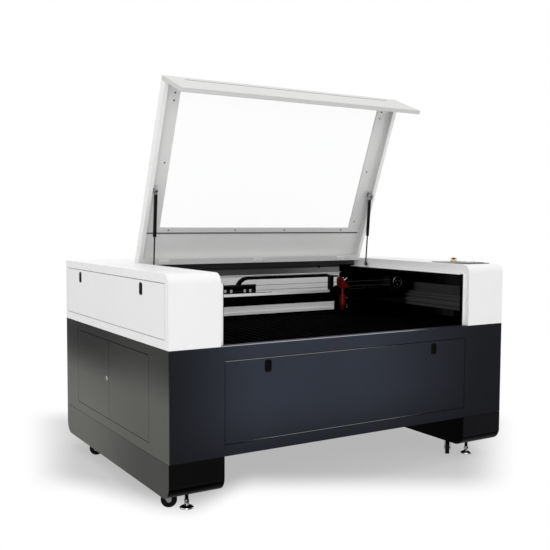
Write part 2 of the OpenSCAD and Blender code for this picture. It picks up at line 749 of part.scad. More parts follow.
// Sliding block of the head with its front plate, and the column that carries the chain's end
module head_carriage() color(black) place() {
    y = gantry_y;
    x = head_x;
    difference() {
        box([x - 63, y - 5, beam_z1 + 8], [x + 60, y + 22, beam_z1 + rail_h + 14]);
        box([x - 64, y + 2.6, beam_z1 + 7], [x + 61, y + 15.4, beam_z1 + rail_h + 0.4]);
    }
    box([x - 38, y - 12, beam_z1 - 93], [x + 55, y - 4, beam_z1 + rail_h + 22]);
    box([x - 22, y - 12, beam_z1], [x + 24, y - 4, beam_up - 8]);
    box([x - 20, y + 21, beam_z1 + rail_h + 4], [x + 20, y + 31, belt_z - 13.8]);
    box([x - 63, y - 5, beam_z1 + rail_h], [x - 43, y + 22, chain_high + 4]);
    box([x - 63, y - 5, chain_high - 4], [chain_end + 20, y + 22, chain_high + 4]);
    box([chain_end + 0.3, y - 5, chain_high - 4], [chain_end + 20, y + beam_d + 27, chain_high + 4]);
}

// Red mirror block with its slanted mirror face, and the collar that holds the lens tube
module head_mirror() color(red) place() {
    y = gantry_y - 31;
    low = beam_up - 56;
    difference() {
        union() {
            along_y(y - 19, gantry_y - 12) polygon([
                [head_x - 24, low], [head_x + 24, low], [head_x + 24, low + 8],
                [head_x - 18, beam_up], [head_x - 24, beam_up]]);
            rod_z(12, low - 9, low + 1, lens_x, y);
        }
        rod_z(8 + run, low - 10, beam_up - 32, lens_x, y);
        rod_z(4, beam_up - 33, beam_up - 24, lens_x, y);
        rod_x(6, head_x - 25, lens_x, y, beam_up - 20);
    }
}

// Red lens tube with its slim neck and its nozzle
module lens_tube() color(red) place() translate([lens_x, gantry_y - 31, 0]) difference() {
    union() {
        rod_z(8, nozzle_z + 80, beam_up - 42, 0, 0);
        rod_z(17, nozzle_z + 36, nozzle_z + 81, 0, 0);
        rod_z(15, nozzle_z + 29, nozzle_z + 37, 0, 0);
        translate([0, 0, nozzle_z]) cylinder(r1 = 7, r2 = 14, h = 30);
    }
    rod_z(2.5, nozzle_z - 1, nozzle_z + 24, 0, 0);
}

// Long rails with grooves, guide bar, belt guard and shaft bearing blocks
module y_rails() color(dark) place() both_sides() {
    x = -yr_x;
    along_y(yr_y0, yr_y1) difference() {
        union() {
            translate([x - 30, yr_z]) square([60, 60]);
            translate([x - 33, yr_z]) square([4, 120]);
            translate([x - 7.5, yr_top - 1]) square([15, guide_h + 1]);
        }
        translate([x + 24, yr_z + 11]) square([7, 8]);
        translate([x + 24, yr_z + 41]) square([7, 8]);
    }
    difference() {
        box([x - 33, yr_y1 - 1, yr_z], [x + 30, shaft_y + 22, yr_top]);
        rod_x(8 + run, x - 34, x + 31, shaft_y, shaft_z);
    }
    // Idler axle of the belt at the front
    rod_x(14.9, x - 48, x - 32, 70, shaft_z);
}

// Belts of the long rails, outside their guards
module y_belts() color(black) place() both_sides()
    translate([-yr_x - 47, 0, 0]) rotate([90, 0, 90]) linear_extrude(11) difference() {
        y_belt_outline(16.5);
        y_belt_outline(15);
    }

module y_belt_outline(r) {
    translate([70, shaft_z]) circle(r = r);
    translate([shaft_y, shaft_z]) circle(r = r);
    translate([70, shaft_z - r]) square([shaft_y - 70, 2 * r]);
}

// Shaft that drives both belts together
module y_drive_shaft() color(steel) place() {
    rod_x(8, -yr_x - 50, yr_x + 50, shaft_y, shaft_z);
    both_sides() rod_x(14.9, -yr_x - 49, -yr_x - 34, shaft_y, shaft_z);
}

// Glass tube in the rear compartment
module laser_tube() color([0.8, 0.75, 0.85]) place() {
    rod_x(38, -open_half + 60, open_half - 60, rail_b, top_z - 130);
    rod_x(20, -open_half + 25, open_half - 25, rail_b, top_z - 130);
}

// Cradles of the tube and the post of mirror one
module tube_supports() color(dark) place() {
    both_sides() difference() {
        box([-open_half + 220, rail_b - 20, bed_z], [-open_half + 260, rail_b + 20, top_z - 150]);
        rod_x(38.3, -open_half + 200, -open_half + 280, rail_b, top_z - 130);
    }
    box([-yr_x - 10, rail_b - 20, bed_z], [-yr_x + 30, rail_b + 20, top_z - 160]);
    translate([-yr_x + 10, rail_b, 0]) rotate([0, 0, -45])
        box([-18, -5, top_z - 161], [18, 5, top_z - 108]);
}

// Power supply and motion controller on their plate in the right cabinet
module electrics() color(steel) place() {
    x = post_in + tube / 2;
    h = bed_z - seam_z;
    supply = [machine_d * 0.195, machine_d * 0.42];
    control = [machine_d * 0.525, machine_d * 0.69];
    box([x, rail_a - tube / 2, seam_z + h / 6], [x + sheet, rail_b + tube / 2, bed_z - h / 7]);
    difference() {
        box([x + 2, supply[0], seam_z + h / 4], [x + pedestal_w * 0.54, supply[1], seam_z + h * 0.76]);
        for (i = [0 : 7])
            box([x + pedestal_w * 0.54 - 3, supply[0] + 30 + i * 30, seam_z + h / 3],
                [x + pedestal_w * 0.54 + 1, supply[0] + 44 + i * 30, seam_z + h * 0.68]);
    }
    box([x + 2, control[0], seam_z + h * 0.28], [x + pedestal_w * 0.2, control[1], seam_z + h * 0.71]);
}

// Control panel on the right housing: screen, keys and the collar of the stop button
module control_panel() color(dark) place() {
    x = half_w - 210;
    difference() {
        union() {
            translate([x + 85, 185, top_z]) linear_extrude(panel_t) round_rect(170, 270, 12);
            rod_z(16, top_z + 1, top_z + stop_up - 4.3, x + 135, 285);
        }
        box([x + 12, 190, top_z + panel_t - 1.2], [x + 108, 300, top_z + panel_t + 1]);
        rod_z(6 + run, top_z + 0.6, top_z + stop_up, x + 135, 285);
    }
    for (i = [0 : 3], j = [0 : 2])
        translate([x + 32 + 35 * i, 80 + 32 * j, top_z + 1])
            linear_extrude(panel_t + 1) round_rect(24, 20, 4);
}

// Mushroom head of the stop button
module stop_button() color(red) place() translate([half_w - 75, 285, top_z]) {
    rod_z(6, 5, stop_up + 1, 0, 0);
    rotate_extrude() difference() {
        translate([0, stop_up]) union() {
            square([15.5, 4]);
            translate([0, 3]) intersection() {
                translate([0, -27]) circle(r = 31);
                square([15.5, 8]);
            }
        }
        translate([-60, 0]) square([60, 80]);
    }
}

// Swivel fork of a caster about its pin, trailing towards minus x
module caster_fork() difference() {
    union() {
        rod_z(6, crown_z, skirt_z + sheet, 0, 0);
        rod_z(23, crown_z, crown_z + crown_t, 0, 0);
        box([-caster_trail - 12, -wheel_w / 2 - 5, crown_z],
            [18, wheel_w / 2 + 5, crown_z + crown_t]);
        for (s = [-1, 1]) along_y(s * (wheel_w / 2 + 3.5) - 1.5, s * (wheel_w / 2 + 3.5) + 1.5) {
            polygon([[-caster_trail - 12, crown_z + 2], [14, crown_z + 2],
                     [-caster_trail + 11, wheel_r - 2], [-caster_trail - 11, wheel_r]]);
            translate([-caster_trail, wheel_r]) circle(r = 11);
        }
        rod_y(4, -wheel_w / 2 - 7, wheel_w / 2 + 7, -caster_trail, wheel_r);
    }
}

// Wheel with a round tread and dished sides
module caster_wheel() translate([-caster_trail, 0, wheel_r]) rotate([90, 0, 0])
    rotate_extrude() difference() {
        union() {
            translate([4 + run, -wheel_w / 2]) square([wheel_r - 8 - run, wheel_w]);
            translate([4 + run, -wheel_w / 2 + 4]) square([wheel_r - 4 - run, wheel_w - 8]);
            for (s = [-1, 1]) translate([wheel_r - 4, s * (wheel_w / 2 - 4)]) circle(r = 4);
        }
        for (s = [-1, 1]) translate([10, s * wheel_w / 2 - 2]) square([wheel_r - 17, 4]);
    }

// Puts a caster piece at its corner, i across and j along the depth
module caster_place(i, j) place() translate([caster_x[i], caster_y[j], 0])
    rotate([0, 0, caster_turn[j][i]]) children();

module caster_fork_lf() color(steel) caster_place(0, 0) caster_fork();
module caster_fork_rf() color(steel) caster_place(1, 0) caster_fork();
module caster_fork_lr() color(steel) caster_place(0, 1) caster_fork();
module caster_fork_rr() color(steel) caster_place(1, 1) caster_fork();
module wheel_lf() color(black) caster_place(0, 0) caster_wheel();
module wheel_rf() color(black) caster_place(1, 0) caster_wheel();
module wheel_lr() color(black) caster_place(0, 1) caster_wheel();
module wheel_rr() color(black) caster_place(1, 1) caster_wheel();

// Levelling foot: domed pad, screw, adjusting nut and lock nut
module levelling_foot() {
    rotate_extrude() polygon([[0, 0], [pad_r - 1, 0], [pad_r, 3], [pad_r - 1, 6], [pad_r - 8, 11],
                              [foot_r + 4, 15], [foot_r + 1, 20], [0, 20]]);
    rod_z(foot_r, 19, skirt_z + 74, 0, 0);
    translate([0, 0, 24]) cylinder(r = foot_r + 4, h = 11, $fn = 6);
    translate([0, 0, skirt_z - 10.5]) cylinder(r = foot_r + 5, h = 10, $fn = 6);
}

module foot_place(x, y) place() translate([x, y, 0]) children();

module foot_lf() color(steel) foot_place(-foot_x, foot_y) levelling_foot();
module foot_rf() color(steel) foot_place(foot_x, foot_y) levelling_foot();
module foot_lr() color(steel) foot_place(-foot_x, machine_d - foot_y) levelling_foot();
module foot_rr() color(steel) foot_place(foot_x, machine_d - foot_y) levelling_foot();

base_frame();
front_panel();
left_panel();
right_panel();
rear_panel();
skirts();
belly_pan();
left_housing();
right_housing();
rear_housing();
chamber_wall();
hinge_pins();
front_door();
left_door_front();
left_door_rear();
left_hatch();
front_latch_left();
front_latch_right();
hatch_latch_front();
hatch_latch_rear();
door_lock();
lid_shell();
lid_window();
window_frame();
lid_fittings();
body_hinge_leaves();
left_strut_rod();
left_strut_tube();
right_strut_rod();
right_strut_tube();
blade_bed();
gantry_beam();
gantry_carriages();
x_rail();
x_belt();
x_motor();
drag_chain();
head_carriage();
head_mirror();
lens_tube();
y_rails();
y_belts();
y_drive_shaft();
laser_tube();
tube_supports();
electrics();
control_panel();
stop_button();
caster_fork_lf();
caster_fork_rf();
caster_fork_lr();
caster_fork_rr();
wheel_lf();
wheel_rf();
wheel_lr();
wheel_rr();
foot_lf();
foot_rf();
foot_lr();
foot_rr();
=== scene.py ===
# %% [markdown]
# # An enclosed flatbed laser cutter, dressed around its solids
#
# The machine is a black sheet-steel base with white housings on top, a swung-up lid with a clear
# window, and a gantry with a red cutting head inside. The solids already have every true size, so
# this lesson gives them finishes, small fasteners and trim, light and a camera. Everything is in
# metres, with the floor at zero height.

# %% Load the solids as a fixed frame
import math

import bmesh
import bpy
from mathutils import Matrix, Vector


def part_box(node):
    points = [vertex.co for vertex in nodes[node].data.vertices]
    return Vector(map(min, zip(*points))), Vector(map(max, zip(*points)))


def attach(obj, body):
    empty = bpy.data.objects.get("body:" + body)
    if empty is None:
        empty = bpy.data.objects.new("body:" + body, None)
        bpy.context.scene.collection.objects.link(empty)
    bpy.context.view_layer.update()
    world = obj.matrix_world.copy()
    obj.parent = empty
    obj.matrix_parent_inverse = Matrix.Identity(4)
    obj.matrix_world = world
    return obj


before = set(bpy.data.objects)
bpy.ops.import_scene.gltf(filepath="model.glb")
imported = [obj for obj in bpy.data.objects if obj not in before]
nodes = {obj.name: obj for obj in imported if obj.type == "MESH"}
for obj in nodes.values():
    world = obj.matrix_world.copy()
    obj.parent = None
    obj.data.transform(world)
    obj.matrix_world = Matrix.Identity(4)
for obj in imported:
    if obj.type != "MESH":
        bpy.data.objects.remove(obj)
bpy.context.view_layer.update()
scene = bpy.context.scene
scene.view_settings.view_transform = "Standard"

# %% [markdown]
# ## Places on the machine
#
# A maker measures this machine from its front face and its middle, in millimetres. The shared frame
# has its origin under the middle of the whole box, so one helper turns the maker's numbers into
# places. A second one finds the middle of a solid, for trim that sits on it. The lid is easier to
# think of closed, so a matrix swings a closed place open.

# %% Helpers for places
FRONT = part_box("front_panel")[0].y
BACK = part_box("rear_housing")[1].y
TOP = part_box("right_housing")[1].z
HALF_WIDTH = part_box("right_housing")[1].x
OPEN_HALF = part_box("rear_housing")[1].x
LID_ANGLE = math.radians(68.5)
MM = 0.001


def at(x, y, z):
    """A place in millimetres from the middle, the front face and the floor."""
    return Vector((x * MM, FRONT + y * MM, z * MM))


def middle(name):
    """The middle of a solid's box."""
    low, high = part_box(name)
    return (low + high) / 2


LID_PIN = at(0, 955, 1002)
LID_SWING = (
    Matrix.Translation(LID_PIN)
    @ Matrix.Rotation(-LID_ANGLE, 4, "X")
    @ Matrix.Translation(-LID_PIN)
)
print("front face at", round(FRONT, 4), "top at", round(TOP, 4))

# %% [markdown]
# ## Camera
#
# The photograph was taken from the front left, a little above the casing, with a normal lens. A
# camera needs three directions: its right, its up and its back. They become the columns of its
# turn, which is more exact than aiming with angles.

# %% Camera at the photograph's angle
RIGHT = Vector((0.852071, -0.523402, 0.005068))
DOWN = Vector((-0.029806, -0.058185, -0.997861))
FORWARD = Vector((0.522577, 0.850097, -0.065179))
EYE = Vector((-2.29497, -3.69413, 1.22393))
SENSOR_WIDTH = 36.0
FOCAL_LENGTH = 53.46

lens = bpy.data.cameras.new("camera")
lens.sensor_width = SENSOR_WIDTH
lens.lens = FOCAL_LENGTH
camera = bpy.data.objects.new("camera", lens)
turn = Matrix((RIGHT, -DOWN, -FORWARD)).transposed().to_4x4()
camera.matrix_world = Matrix.Translation(EYE) @ turn
scene.collection.objects.link(camera)
scene.camera = camera
print("camera at", [round(v, 3) for v in camera.location])

# %% [markdown]
# ## Shader arithmetic
#
# A finish is a small calculation on the place of a surface point. Wiring that by hand takes many
# lines, so one class wraps an output socket: a Python sum on it adds a Math node, and one method
# adds any other node with its settings and the values or links of its sockets.


# %% A socket that can be calculated with
class Wire:
    """An output socket of a shader node, or the bare tree to start from."""

    def __init__(self, tree, socket=None):
        self.tree = tree
        self.socket = socket

    def node(self, kind, settings=None, inputs=None, output=0):
        made = self.tree.nodes.new(kind)
        for key, value in (settings or {}).items():
            setattr(made, key, value)
        for key, value in (inputs or {}).items():
            if isinstance(value, Wire):
                self.tree.links.new(value.socket, made.inputs[key])
            else:
                made.inputs[key].default_value = value
        return Wire(self.tree, made.outputs[output] if made.outputs else None)

    def math(self, operation, first, second):
        return self.node("ShaderNodeMath", {"operation": operation}, {0: first, 1: second})

    def __add__(self, other):
        return self.math("ADD", self, other)

    def __radd__(self, other):
        return self.math("ADD", other, self)

    def __sub__(self, other):
        return self.math("SUBTRACT", self, other)

    def __rsub__(self, other):
        return self.math("SUBTRACT", other, self)

    def __mul__(self, other):
        return self.math("MULTIPLY", self, other)

    def __rmul__(self, other):
        return self.math("MULTIPLY", other, self)

    def __truediv__(self, other):
        return self.math("DIVIDE", self, other)

    def __gt__(self, other):
        return self.math("GREATER_THAN", self, other)

    def __lt__(self, other):
        return self.math("LESS_THAN", self, other)

    def __abs__(self):
        return self.math("ABSOLUTE", self, 0.0)

    def either(self, other):
        """The greater of two masks or numbers."""
        return self.math("MAXIMUM", self, other)

    def axis(self, letter):
        return self.node("ShaderNodeSeparateXYZ", None, {0: self}, letter)

    def step(self, low, high):
        """0 at low and 1 at high, with a soft rise between."""
        values = {"Value": self, "From Min": low, "From Max": high}
        return self.node("ShaderNodeMapRange", {"interpolation_type": "SMOOTHSTEP"}, values)


print("wire class ready")

# %% [markdown]
# ## A finish
#
# Each finish is one material, made of one surface shader and a few noises on Object coordinates,
# so a pattern stays on its piece when the piece moves. Numbers that are the same all over go
# straight onto the shader's sockets.


# %% A material with its helpers
class Finish:
    """One surface shader, fed by calculations on the place of a surface point."""

    def __init__(self, name, **constants):
        self.material = bpy.data.materials.new(name)
        self.material.use_nodes = True
        self.tree = self.material.node_tree
        self.shader = self.tree.nodes["Principled BSDF"]
        for key, value in constants.items():
            self.shader.inputs[key.replace("_", " ")].default_value = value
        self.place = Wire(self.tree).node("ShaderNodeTexCoord", output="Object")
        self.facing = Wire(self.tree).node("ShaderNodeTexCoord", output="Normal")

    def axes(self, letters="XYZ"):
        return [self.place.axis(letter) for letter in letters]

    def noise(self, scale, detail=2.0, stretch=(1, 1, 1)):
        spot = self.place.node("ShaderNodeMapping", None, {"Vector": self.place, "Scale": stretch})
        values = {"Vector": spot, "Scale": scale, "Detail": detail}
        return spot.node("ShaderNodeTexNoise", None, values, "Fac")

    def between(self, mask, low, high):
        """Colour low where the mask is 0 and high where it is 1."""
        low, high = (c if isinstance(c, Wire) else (*c, 1.0) for c in (low, high))
        return mask.node("ShaderNodeMix", {"data_type": "RGBA"}, {0: mask, 6: low, 7: high}, 2)

    def bump(self, height, strength, distance):
        values = {"Height": height, "Strength": strength, "Distance": distance}
        return height.node("ShaderNodeBump", None, values, "Normal")

    def feed(self, **wires):
        for key, wire in wires.items():
            self.tree.links.new(wire.socket, self.shader.inputs[key.replace("_", " ")])
        return self


def shade(colour, factor):
    return tuple(min(1.0, c * factor) for c in colour)


print("finish class ready")

# %% [markdown]
# ## Powder coat
#
# The casing is folded steel with a baked powder coat. Close up such a coat has a fine orange-peel
# skin, and from a step away its tone drifts very slightly over a panel. A fine noise drives the
# bump and the roughness, a broad one drives the tone, and upward faces carry a trace of dust.

# %% Powder-coat finishes
PEEL = 520.0
PEEL_DEPTH = 0.00012
DUST = (0.45, 0.44, 0.42)
WHITE = (0.79, 0.795, 0.79)


def powder_coat(name, colour, roughness, specular=0.5, drift=0.05, dust=0.02):
    finish = Finish(name, Specular_IOR_Level=specular)
    broad = finish.noise(2.2, 3.0)
    cloud = finish.noise(14.0)
    peel = finish.noise(PEEL, 1.0)
    tone = finish.between(broad, shade(colour, 1 - drift), shade(colour, 1 + drift))
    settled = finish.facing.axis("Z").step(0.7, 1.0) * cloud * dust
    finish.feed(
        Base_Color=finish.between(settled, tone, DUST),
        Roughness=roughness - 0.04 + 0.05 * cloud + 0.03 * peel,
        Normal=finish.bump(peel, 0.25, PEEL_DEPTH),
    )
    finish.tone = tone
    return finish


def white_powder(name):
    return powder_coat(name, WHITE, 0.42, 0.4, 0.012)


white_coat = white_powder("white_coat")
frame_paint = powder_coat("frame_paint", (0.010, 0.010, 0.011), 0.6, 0.2, 0.2)
# The bed and base frame are black and fully metallic with no sheen: own black plus painted shade.
bed_black = powder_coat("bed_black", (0.0010, 0.0010, 0.0010), 0.75, 0.04, 0.4, 0.0)
bed_black.shader.inputs["Metallic"].default_value = 1.0
print("plain coats made")

# %% [markdown]
# ## The black coat of the sides
#
# The base is one satin black, yet it never looks even: the left side mirrors the bright studio and
# turns grey, palest low at the rear and darkest close under the white casing. Soft steps along the
# height and the depth paint that reflection and shade into the colour, and a fully metallic dark
# tone near the top paints shade with no sheen. The hidden inside of a sheet is painted unlit: a
# near-black base that is fully metallic has no sheen.

# %% Black coat of the sides and the back
SKIN = 1.6 * MM
UNLIT = (0.0025, 0.0025, 0.003)
SIDE_REFLECTION_GREY = (0.092, 0.092, 0.084)
LOW_REAR_REFLECTION = (0.132, 0.132, 0.121)
UNDER_CASING_SHADE = (0.022, 0.022, 0.020)
TOP_SHADE_BLACK = (0.012, 0.012, 0.011)

black_side = powder_coat("black_side", SIDE_REFLECTION_GREY, 0.36, 0.6, 0.08)
across, along, height = black_side.axes()
inside = (across > 0.0) * (across < HALF_WIDTH - SKIN) * (along < BACK - SKIN)
rearward = along.step(-0.5, 0.4)
# Painted reflection: paler grey low at the rear. Painted shade: darker close under the casing.
low_rear_reflection = rearward * height.step(0.50, 0.28)
tone = black_side.between(low_rear_reflection, black_side.tone, LOW_REAR_REFLECTION)
tone = black_side.between(height.step(0.69, 0.44), UNDER_CASING_SHADE, tone)
# Painted shade near the top, strongest at the rear, fully metallic so that it has no sheen.
top_shade = height.step(0.42, 0.66) * (0.2 + 0.75 * rearward)
tone = black_side.between(top_shade, tone, TOP_SHADE_BLACK)
# The hidden inside is painted unlit.
black_side.feed(
    Base_Color=black_side.between(inside, tone, UNLIT),
    Metallic=top_shade.either(inside),
)
print("side coat made")

# %% [markdown]
# ## The black coat of the front
#
# The front falls from a deep blue in the middle to near black at its ends and its foot: a painted
# sheen on the satin black. The folded top edge of the panel and the door's upper and lower edges
# catch the light as thin lines. A mask on the edge's own height draws such a line as a painted
# highlight and leaves the solid as it is.

# %% Black coat of the front
DEEP_BLUE = (0.026, 0.031, 0.047)
NEAR_BLACK = (0.0075, 0.0080, 0.0115)
EDGE_LIGHT = (0.26, 0.26, 0.25)
LIP_LIGHT = (0.42, 0.42, 0.43)
TOUCH = 0.1 * MM
EDGE = 1.6 * MM
LIP_TALL = 1.2 * MM
LIP_DEEP = 9 * MM
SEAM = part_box("front_panel")[1].z
door_low, door_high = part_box("front_door")

black_front = powder_coat("black_front", DEEP_BLUE, 0.38, 0.35, 0.12)
across, along, height = black_front.axes()
# Painted sheen: deep blue in the middle, near black at the ends and the foot.
front_sheen = across.step(-1.02, -0.47) * across.step(0.90, -0.05) * height.step(0.10, 0.46)
tone = black_front.between(front_sheen, NEAR_BLACK, black_front.tone)
# Painted highlights along the door's upper and lower edges and the panel's folded top edge.
on_door = (across > door_low.x - TOUCH) * (across < door_high.x + TOUCH)
head_edge = (height > door_high.z - EDGE) * (height < door_high.z + TOUCH)
head_edge = head_edge * across.step(0.30, -0.10)
foot_edge = (height > door_low.z - TOUCH) * (height < door_low.z + EDGE)
foot_edge = foot_edge * across.step(0.45, 0.15) * across.step(-0.62, -0.40)
tone = black_front.between(on_door * (head_edge + foot_edge), tone, EDGE_LIGHT)
lip = (height > SEAM - LIP_TALL) * (along < FRONT + LIP_DEEP) * across.step(0.46, 0.30)
black_front.feed(Base_Color=black_front.between(lip, tone, LIP_LIGHT))
print("front coat made, seam at", round(SEAM, 4))

# %% [markdown]
# ## The black coat of the pedestals
#
# The pedestals' front and inner faces lie in shade and are painted nearly black, while their sides
# and backs are painted grey like the panels above, as a sheen of the bright studio. The way that a
# face points tells them apart.

# %% Black coat of the pedestals
PEDESTAL_SHEEN_GREY = (0.056, 0.056, 0.053)
PEDESTAL_REAR_SHEEN = (0.128, 0.128, 0.118)
SHADE_LEFT = (0.0006, 0.0006, 0.0010)
SHADE_RIGHT = (0.0042, 0.0042, 0.0060)
OUTER_SIDE = 0.90

black_skirt = powder_coat("black_skirt", PEDESTAL_SHEEN_GREY, 0.34, 0.45, 0.10)
across, along = black_skirt.axes("XY")
aside = abs(across)
# Faces turned to the side or the back get a painted grey sheen; the others get painted shade.
turned = abs(black_skirt.facing.axis("X")).step(0.4, 0.9) * (aside > OUTER_SIDE)
behind = black_skirt.facing.axis("Y").step(0.4, 0.9) * (along > BACK - 40 * MM)
dark = black_skirt.between(across.step(-0.5, 0.5), SHADE_LEFT, SHADE_RIGHT)
grey = black_skirt.between(along.step(-0.45, 0.35), black_skirt.tone, PEDESTAL_REAR_SHEEN)
tone = black_skirt.between(turned.either(behind), dark, grey)
inside = (aside < HALF_WIDTH - SKIN) * (along > FRONT + SKIN) * (along < BACK - SKIN)
black_skirt.feed(Base_Color=black_skirt.between(inside, tone, UNLIT), Metallic=inside)
print("black coats made")

# %% [markdown]
# ## The side housings
#
# The side housings are white outside, and inside, where the rails run, they are painted unlit as
# shade. Their top front edge is round, so the shaded inside is told from the white skin by its
# distance from the middle of that round. The innermost few millimetres of each ledge are painted
# dark as shade, which brings the visible edge to where the photograph has it. Toward the front of
# the right housing a grey tone is painted inside as the light that reaches it there. Each is a
# mask: a product of comparisons, each 0 or 1.

# %% Housing finish
ROUND = 45 * MM
LEFT_WALL = 26 * MM
LEDGE = OPEN_HALF - 26 * MM
STRIP_RIGHT = 9 * MM
STRIP_LEFT = 3 * MM
STRIP_DEEP = 38 * MM
STRIP_DROP = 51 * MM
INSIDE_LIGHT_GREY = (0.060, 0.062, 0.070)
RIGHT_INSIDE = 0.70

housing_coat = white_powder("housing_coat")
across, depth, height = housing_coat.axes()
side = abs(across)
ahead = ((FRONT + ROUND) - depth).either(0.0)
above = (height - (TOP - ROUND)).either(0.0)
# The inside is painted unlit as shade.
hollow = (
    (side > OPEN_HALF + SKIN)
    * (across > LEFT_WALL - HALF_WIDTH)
    * (across < HALF_WIDTH - SKIN)
    * (ahead * ahead + above * above < (ROUND - SKIN) ** 2)
    * (depth < BACK - SKIN)
)
# A narrow strip along each ledge's inner edge is painted dark as shade.
front_or_low = (depth < FRONT + STRIP_DEEP).either(height < TOP - STRIP_DROP)
strip = (side < LEDGE + STRIP_RIGHT) * (across > -LEDGE - STRIP_LEFT) * front_or_low
dark = hollow.either(strip)
# Painted light: a grey tone inside the right housing toward its front.
light_reach = hollow * (across > RIGHT_INSIDE) * depth.step(-0.15, -0.35)
inside_shade = housing_coat.between(light_reach, UNLIT, INSIDE_LIGHT_GREY)
housing_coat.feed(
    Base_Color=housing_coat.between(dark, housing_coat.tone, inside_shade),
    Metallic=dark - light_reach,
)
print("housing coat made, ledge at", round(LEDGE, 4))

# %% [markdown]
# ## Deck and back wall
#
# The deck behind the lid has a dark front flange below its top fold, and the hinge leaves on it
# share its finish. The light sheet at the back of the work space turns dark above its lip, with a
# sheen toward the right, and is unlit at its right end and at its foot.

# %% Deck and back-wall finishes
DECK_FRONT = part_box("rear_housing")[0].y
FLANGE_BLACK = (0.030, 0.030, 0.031)
WALL_WHITE = (0.95, 0.95, 0.955)
LIP_BLACK = (0.016, 0.016, 0.018)
SHEEN_LEFT = (0.075, 0.075, 0.076)
SHEEN_RIGHT = (0.25, 0.25, 0.25)
WALL_END = 0.60
WALL_FOOT = 0.702

deck_coat = white_powder("deck_coat")
along, height = deck_coat.axes("YZ")
flange = (along < DECK_FRONT + 4 * MM) * (height < TOP - 8 * MM)
deck_coat.feed(Base_Color=deck_coat.between(flange, deck_coat.tone, FLANGE_BLACK))

# The sheen toward the right is a painted reflection; the right end and foot are painted shade.
wall_coat = powder_coat("wall_coat", WALL_WHITE, 0.5, 0.3, 0.03)
across, height = wall_coat.axes("XZ")
band = height > TOP - 85 * MM
fold = band * (height < TOP - 54 * MM)
sheen = wall_coat.between(across.step(0.1, 0.6), SHEEN_LEFT, SHEEN_RIGHT)
dim = wall_coat.between(fold, LIP_BLACK, sheen)
tone = wall_coat.between(band, wall_coat.tone, dim)
unlit = (across > WALL_END).either(height < WALL_FOOT)
wall_coat.feed(Base_Color=wall_coat.between(unlit, tone, UNLIT), Metallic=unlit)
print("two-tone coats made")

# %% [markdown]
# ## The lid's coat
#
# The lid is powder coated too. Its white is a touch lighter than the housings', painted light for
# its shaded inside, and the window frame takes a greyer copy of it as painted shade. The flap is
# painted greyer as shade, and the groove along that flap has a painted shadow. The lid is drawn
# swung open, so the mask turns a place back to the closed lid before it compares.

# %% Lid finishes
FLAP_SHADE_GREY = (0.58, 0.58, 0.575)
GROOVE_SHADOW = (0.012, 0.012, 0.012)
FLAP_FROM = -953 * MM
GROOVE_FACE = -973.2 * MM
GROOVE_LOW = -49.6 * MM
GROOVE_HIGH = -41.4 * MM
GROOVE_HALF = 0.612

# The lid's white is a touch lighter as painted light; the frame's greyer copy is painted shade.
lid_coat = powder_coat("lid_coat", (0.82, 0.82, 0.815), 0.42, 0.4, 0.015)
shaded_frame_coat = powder_coat("shaded_frame_coat", (0.74, 0.74, 0.735), 0.42, 0.4, 0.015)
across, along, height = lid_coat.axes()
back = along - LID_PIN.y
up = height - LID_PIN.z
shut_y = back * math.cos(LID_ANGLE) - up * math.sin(LID_ANGLE)
shut_z = back * math.sin(LID_ANGLE) + up * math.cos(LID_ANGLE)
# Painted shadow in the groove along the flap.
groove = (
    (abs(across) < GROOVE_HALF)
    * (shut_y < GROOVE_FACE)
    * (shut_z > GROOVE_LOW)
    * (shut_z < GROOVE_HIGH)
)
# The flap is painted greyer as shade.
tone = lid_coat.between(shut_y < FLAP_FROM, lid_coat.tone, FLAP_SHADE_GREY)
lid_coat.feed(Base_Color=lid_coat.between(groove, tone, GROOVE_SHADOW))
print("lid coats made")

# %% [markdown]
# ## Metals
#
# Rails and pins are ground steel: the grinding leaves fine lines along one direction, so a noise
# is stretched along that direction before it moves the roughness. Anodised parts are coloured metal
# with a soft grain. Chrome is nearly a mirror, with a few faint smears.

# %% Metal finishes
EVEN = (1, 1, 1)
GROUND_X = (0.05, 1, 1)
GROUND_Y = (1, 0.05, 1)
GROUND_Z = (1, 1, 0.05)
GRAIN_Z = (1, 1, 0.1)
CHROME = (0.74, 0.74, 0.75)


def metal(name, colour, roughness, stretch,
          scale=90.0, spread=0.18, metallic=1.0, specular=0.5):
    finish = Finish(name, Metallic=metallic, Specular_IOR_Level=specular)
    lines = finish.noise(scale, 3.0, stretch)
    patches = finish.noise(9.0, 2.0)
    finish.feed(
        Base_Color=finish.between(patches, shade(colour, 0.88), shade(colour, 1.08)),
        Roughness=roughness - spread / 2 + spread * lines,
        Normal=finish.bump(lines, 0.12, 0.0002),
    )
    return finish


ground_steel = metal("ground_steel", (0.66, 0.66, 0.67), 0.30, GROUND_X)
zinc_plate = metal("zinc_plate", (0.58, 0.58, 0.60), 0.36, EVEN, 160.0)
bracket_zinc = metal("bracket_zinc", (0.80, 0.80, 0.81), 0.45, EVEN, 160.0, 0.15, 0.35)
chrome = metal("chrome", CHROME, 0.14, EVEN, 40.0, 0.08)
rod_steel = metal("rod_steel", (0.06, 0.06, 0.062), 0.30, GROUND_Z, 120.0)
anodised_black = metal("anodised_black", (0.0045, 0.0045, 0.005), 0.45, GROUND_X, 140.0, 0.12)
anodised_red = metal("anodised_red", (0.142, 0.002, 0.002), 0.36, GRAIN_Z, 160.0, 0.15, 0.6)
motor_dark = metal("motor_dark", (0.005, 0.005, 0.006), 0.5, EVEN, 120.0, 0.12)
plain_metal = metal("plain_metal", (0.55, 0.55, 0.56), 0.42, GRAIN_Z, 100.0)
print("plain metals made")

# %% [markdown]
# ## Metals that change along a piece
#
# The long rails are painted lit only toward the front and unlit behind. The gantry's rail has a
# painted highlight on top that fades toward the head, and is painted unlit elsewhere. The lid's
# fittings are bare zinc above and painted white near the hinge.

